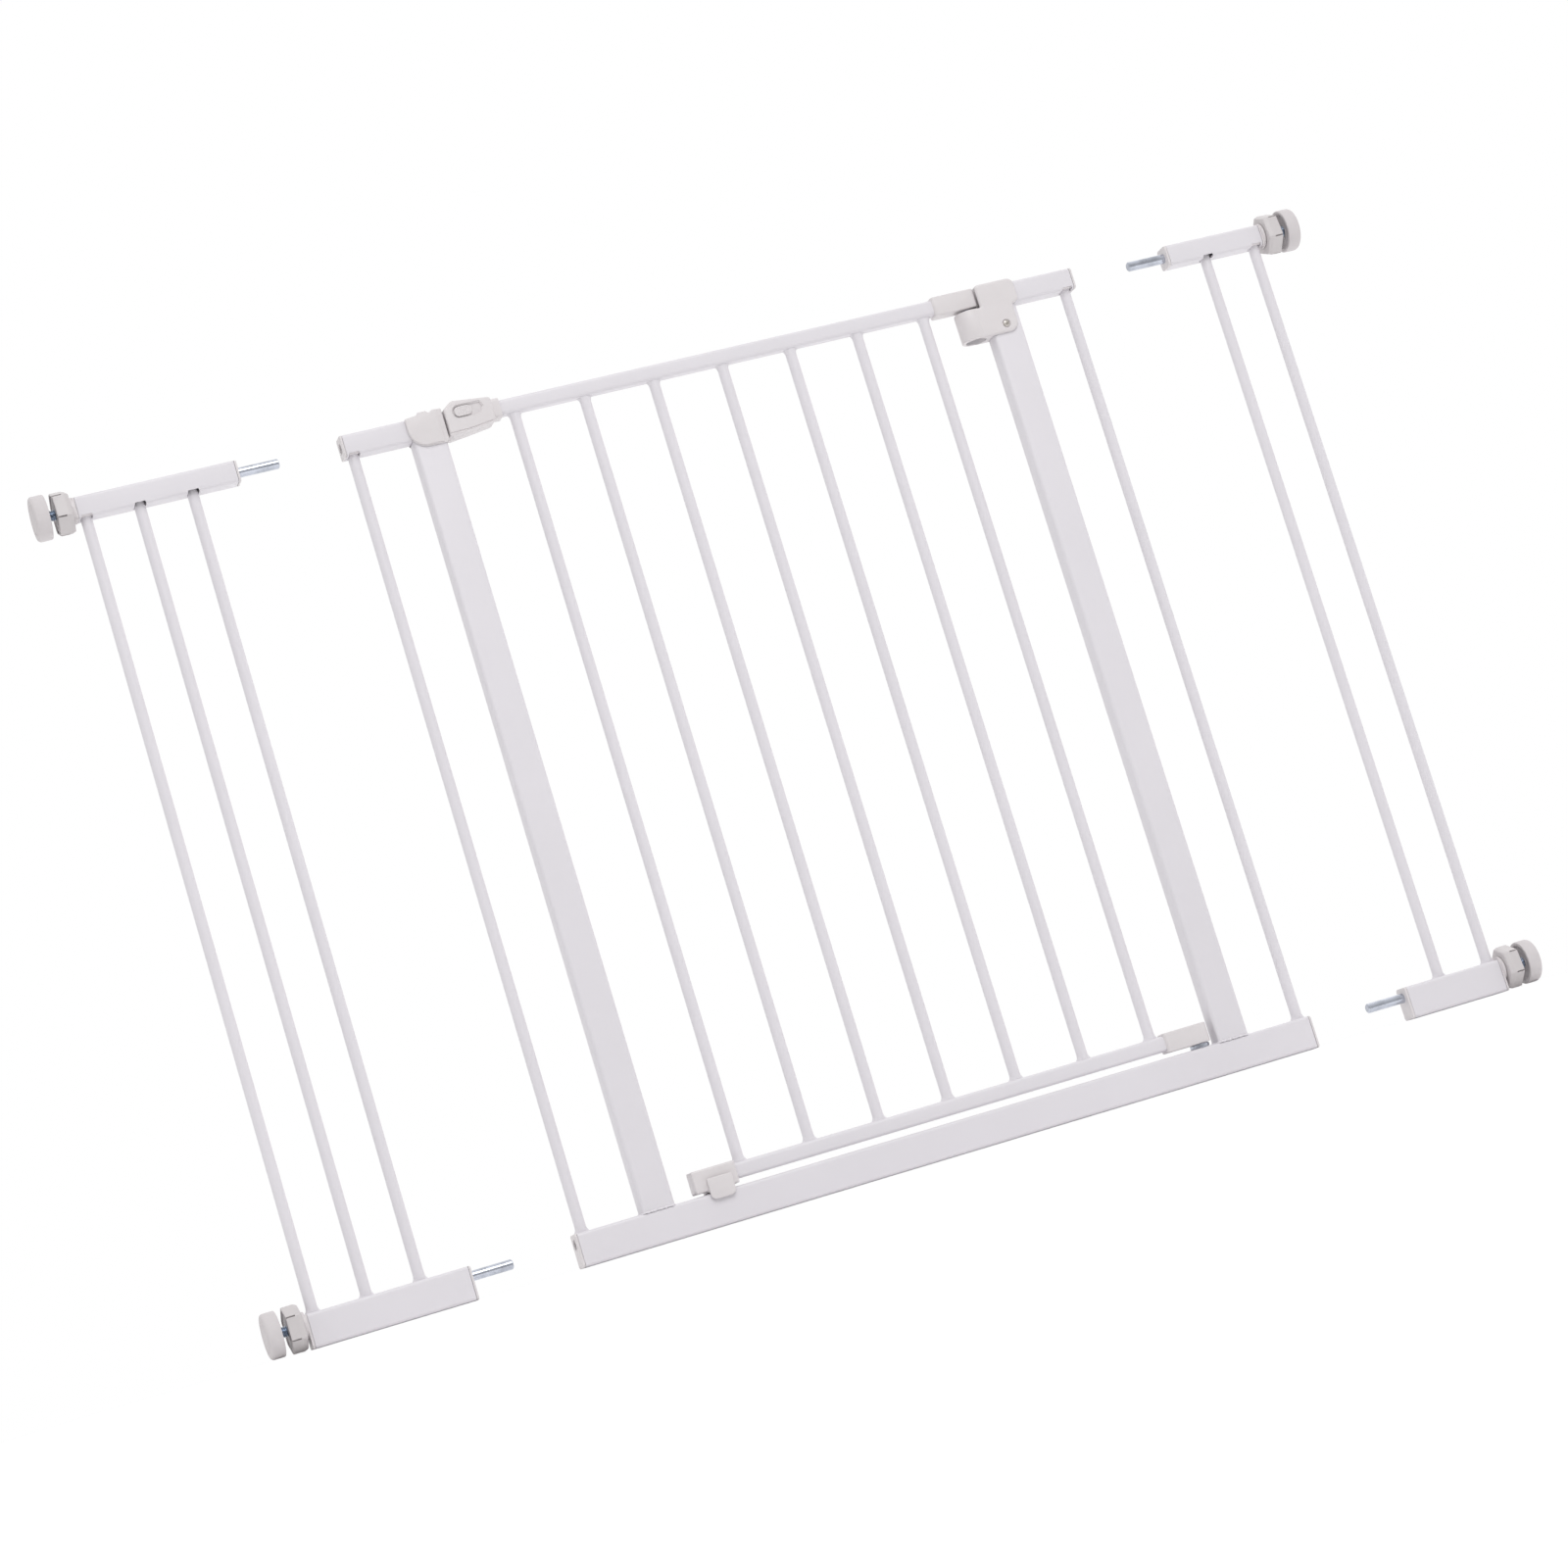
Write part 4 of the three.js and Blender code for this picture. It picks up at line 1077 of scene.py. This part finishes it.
class GATE_OT_studio(GateOperator, bpy.types.Operator):
    """Build the floor, the soft lights and the camera"""

    bl_idname = "gate.studio"
    bl_label = "Studio"

    def execute(self, context):
        set_up = context.scene.gate_studio
        self.floor(set_up)
        self.lights(context.scene, set_up)
        self.camera(context.scene, set_up)
        return {"FINISHED"}

    def floor(self, set_up):
        """Level under the gate; in front of it the floor bends down on a hyperbola, so that a low camera
        sees the whole sill."""
        reach, start, bend = set_up.floor_reach, -0.014, 0.12
        y = [np.linspace(-reach, -0.5, 30), np.linspace(-0.48, start, 60), [0.5, reach]]
        x, y = np.linspace(-reach, reach, 9)[None], np.concatenate(y)[:, None]
        ahead = np.clip(start - y, 0, None)
        fall = (np.sqrt(ahead**2 + bend**2) - bend) * set_up.floor_slope
        grid = np.stack(np.broadcast_arrays(x, y, -fall - 0.0004), -1)
        m, n = grid.shape[:2]
        at = np.arange(m * n).reshape(m, n)
        quads = np.stack([at[:-1, :-1], at[:-1, 1:], at[1:, 1:], at[1:, :-1]], -1).reshape(-1, 4)
        mesh = bpy.data.meshes.new("floor")
        mesh.from_pydata(grid.reshape(-1, 3).tolist(), [], quads.tolist())
        mesh.shade_smooth()
        r = Recipe(bpy.data.materials.new("floor_paper"))
        where = r.place()
        tone = r.tint(r.noise(where, 0.4, 3.0), shade(set_up.floor_colour, 0.995), set_up.floor_colour)
        mesh.materials.append(r.surface(base_color=tone, roughness=0.9, specular_ior_level=0.1))
        made = bpy.data.objects.new("floor", mesh)
        bpy.context.scene.collection.objects.link(made)

    def lights(self, scene, set_up):
        """Even white light all round, dimmer towards the front, with a key in front and a weak rim behind."""
        r = Recipe(bpy.data.worlds.new("studio"))
        towards = r.node("ShaderNodeTexCoord")
        x, y = (r.node("ShaderNodeSeparateXYZ", None, {0: towards}, i) for i in (0, 1))
        dim = (y * -1).at_least(0) * set_up.front_dimming + (x * -1).at_least(0) * set_up.side_dimming
        strength = set_up.sky_strength - dim
        sky = r.node("ShaderNodeBackground", None, {"Color": (1, 1, 1, 1), "Strength": strength})
        r.node("ShaderNodeOutputWorld", None, {"Surface": sky}, None)
        scene.world = r.owner
        aim = Vector((0, 0, 0.38))
        for name, place, size, power in (("key", (-0.2, -6.0, 6.0), 4.5, set_up.key_power),
                                         ("rim", (2.6, 1.8, 2.6), 1.8, set_up.key_power * 0.02)):
            lamp = bpy.data.lights.new(name, "AREA")
            lamp.energy, lamp.size = power, size
            made = bpy.data.objects.new(name, lamp)
            made.location = place
            made.rotation_euler = (aim - Vector(place)).to_track_quat("-Z", "Y").to_euler()
            scene.collection.objects.link(made)
        scene.view_settings.view_transform = "Standard"

    def camera(self, scene, set_up):
        """Camera given by its place and its three turns: yaw to the right of +Y, pitch up, and roll."""
        yaw, pitch, roll = set_up.camera_turns
        ahead = Vector((np.sin(yaw) * np.cos(pitch), np.cos(yaw) * np.cos(pitch), np.sin(pitch)))
        level = Vector((np.cos(yaw), -np.sin(yaw), 0))
        over = level.cross(ahead)
        right = level * np.cos(roll) + over * np.sin(roll)
        up = over * np.cos(roll) - level * np.sin(roll)
        lens = bpy.data.cameras.new("camera")
        lens.lens, lens.sensor_width = set_up.lens, 36
        lens.clip_start, lens.clip_end = 0.05, 60
        made = bpy.data.objects.new("camera", lens)
        turn = Matrix((right, up, -ahead)).transposed().to_4x4()
        made.matrix_world = Matrix.Translation(set_up.camera_place) @ turn
        scene.collection.objects.link(made)
        scene.camera = made


# ---- settings ----


class GateSizes(bpy.types.PropertyGroup):
    """Sizes of the details that the frame doesn't give"""

    tube_corner: FloatProperty(
        name="Tube corner", description="Radius of a tube's corners", default=0.003, unit="LENGTH")
    tube_wall: FloatProperty(
        name="Tube wall", description="Wall of every tube", default=0.0015, unit="LENGTH")
    rail_corner: FloatProperty(
        name="Rail corner", description="Radius of the door rails' corners", default=0.0032, unit="LENGTH")
    bar_radius: FloatProperty(
        name="Bar radius", description="Radius of the upright bars", default=0.005, unit="LENGTH")
    weld_size: FloatProperty(
        name="Weld size", description="Reach of a weld fillet", default=0.0024, unit="LENGTH")
    plastic_edge: FloatProperty(
        name="Plastic edge", description="Edge radius of the mouldings", default=0.0012, unit="LENGTH")
    cap_edge: FloatProperty(
        name="Cap edge", description="Rounding of the hinge cap's edges", default=0.0027, unit="LENGTH")
    hinge_bore: FloatProperty(
        name="Hinge bore", description="Radius of the hinge pins' bores", default=0.0054, unit="LENGTH")
    latch_travel: FloatProperty(
        name="Latch travel", description="Way of the thumb slider", default=0.0085, unit="LENGTH")
    pin_radius: FloatProperty(
        name="Pin radius", description="Radius of a coupling pin", default=0.0045, unit="LENGTH")
    thread_radius: FloatProperty(
        name="Thread radius", description="Radius over the thread", default=0.0048, unit="LENGTH")
    thread_pitch: FloatProperty(
        name="Thread pitch", description="Distance between crests", default=0.0015, unit="LENGTH")
    thread_depth: FloatProperty(
        name="Thread depth", description="Crest to root", default=0.0008, unit="LENGTH")
    pad_radius: FloatProperty(
        name="Pad radius", description="Radius of a wall pad", default=0.02, unit="LENGTH")
    nut_flats: FloatProperty(
        name="Nut flats", description="Nut across its flats", default=0.036, unit="LENGTH")
    nut_corner: FloatProperty(
        name="Nut corner", description="How far a nut's corners are cut back", default=0.0003, unit="LENGTH")
    slit_depth: FloatProperty(
        name="Slit depth", description="Depth of a nut's corner slits", default=0.0026, unit="LENGTH")
    nut_turns: FloatVectorProperty(
        name="Nut turns", description="Turn of the nuts: left top and bottom, right top and bottom", size=4,
        default=(0.349, 0.506, 0.367, 0.367), unit="ROTATION")


class GateLook(bpy.types.PropertyGroup):
    """Colours and textures of the finishes"""

    paint_colour: FloatVectorProperty(
        name="Paint", description="Baked paint", default=(0.725, 0.700, 0.735), subtype="COLOR")
    plastic_colour: FloatVectorProperty(
        name="Plastic", description="Mouldings", default=(0.70, 0.665, 0.674), subtype="COLOR")
    nut_colour: FloatVectorProperty(
        name="Nuts", description="Hand nuts", default=(0.60, 0.568, 0.573), subtype="COLOR")
    pad_colour: FloatVectorProperty(
        name="Pads", description="Wall pads", default=(0.635, 0.60, 0.61), subtype="COLOR")
    zinc_colour: FloatVectorProperty(
        name="Zinc", description="Zinc plate", default=(0.60, 0.63, 0.71), subtype="COLOR")
    thread_colour: FloatVectorProperty(
        name="Thread", description="Zinc of the spindles", default=(0.50, 0.58, 0.70), subtype="COLOR")
    screw_colour: FloatVectorProperty(
        name="Screw", description="Dull plate of the cap screw", default=(0.68, 0.64, 0.6), subtype="COLOR")
    peel_size: FloatProperty(
        name="Orange peel", description="Size of the paint's ripples", default=0.0011, unit="LENGTH")
    grain_size: FloatProperty(
        name="Plastic grain", description="Size of the mouldings' grain", default=0.0005, unit="LENGTH")


class GateStudio(bpy.types.PropertyGroup):
    """Floor, lights and camera"""

    floor_reach: FloatProperty(
        name="Floor reach", description="Half the floor's width", default=12.0, unit="LENGTH")
    floor_slope: FloatProperty(name="Floor slope", description="Fall of the floor far in front", default=0.35)
    floor_colour: FloatVectorProperty(
        name="Floor", description="Floor colour", default=(0.99, 0.99, 0.99), subtype="COLOR")
    sky_strength: FloatProperty(name="Sky", description="Strength of the even white light", default=1.0)
    front_dimming: FloatProperty(
        name="Front dimming", description="Loss of even light from the front", default=0.5)
    side_dimming: FloatProperty(
        name="Side dimming", description="Loss of even light from the left", default=0.2)
    key_power: FloatProperty(
        name="Key light", description="Power of the main soft light", default=270.0, unit="POWER")
    lens: FloatProperty(name="Lens", description="Focal length in millimetres", default=88.5)
    camera_place: FloatVectorProperty(
        name="Camera place", description="Where the camera stands", default=(-1.0424, -3.2699, -0.0557),
        subtype="TRANSLATION")
    camera_turns: FloatVectorProperty(
        name="Camera turns", description="Yaw, pitch and roll", default=(0.293186, 0.121308, -0.29692),
        subtype="EULER")


OPERATORS = (
    GATE_OT_frame_tubes, GATE_OT_upright_bars, GATE_OT_door_frame, GATE_OT_end_plugs, GATE_OT_extension_tubes,
    GATE_OT_spindles, GATE_OT_nuts, GATE_OT_latch_keeper, GATE_OT_latch, GATE_OT_hinge, GATE_OT_door_fittings,
    GATE_OT_studio,
)


class GATE_PT_panel(bpy.types.Panel):
    """Lists the gate's operators"""

    bl_idname = "GATE_PT_panel"
    bl_label = "Safety gate"
    bl_space_type = "VIEW_3D"
    bl_region_type = "UI"
    bl_category = "Gate"

    def draw(self, context):
        for group in (context.scene.gate_sizes, context.scene.gate_look, context.scene.gate_studio):
            for key in group.__annotations__:
                self.layout.prop(group, key)
        for operator in OPERATORS:
            self.layout.operator(operator.bl_idname)


CLASSES = (GateSizes, GateLook, GateStudio, *OPERATORS, GATE_PT_panel)


def register():
    for cls in CLASSES:
        bpy.utils.register_class(cls)
    bpy.types.Scene.gate_sizes = PointerProperty(type=GateSizes)
    bpy.types.Scene.gate_look = PointerProperty(type=GateLook)
    bpy.types.Scene.gate_studio = PointerProperty(type=GateStudio)


def unregister():
    del bpy.types.Scene.gate_sizes, bpy.types.Scene.gate_look, bpy.types.Scene.gate_studio
    for cls in reversed(CLASSES):
        bpy.utils.unregister_class(cls)


def main():
    register()
    for operator in OPERATORS:
        group, name = operator.bl_idname.split(".")
        getattr(getattr(bpy.ops, group), name)()


if __name__ == "__main__":
    main()
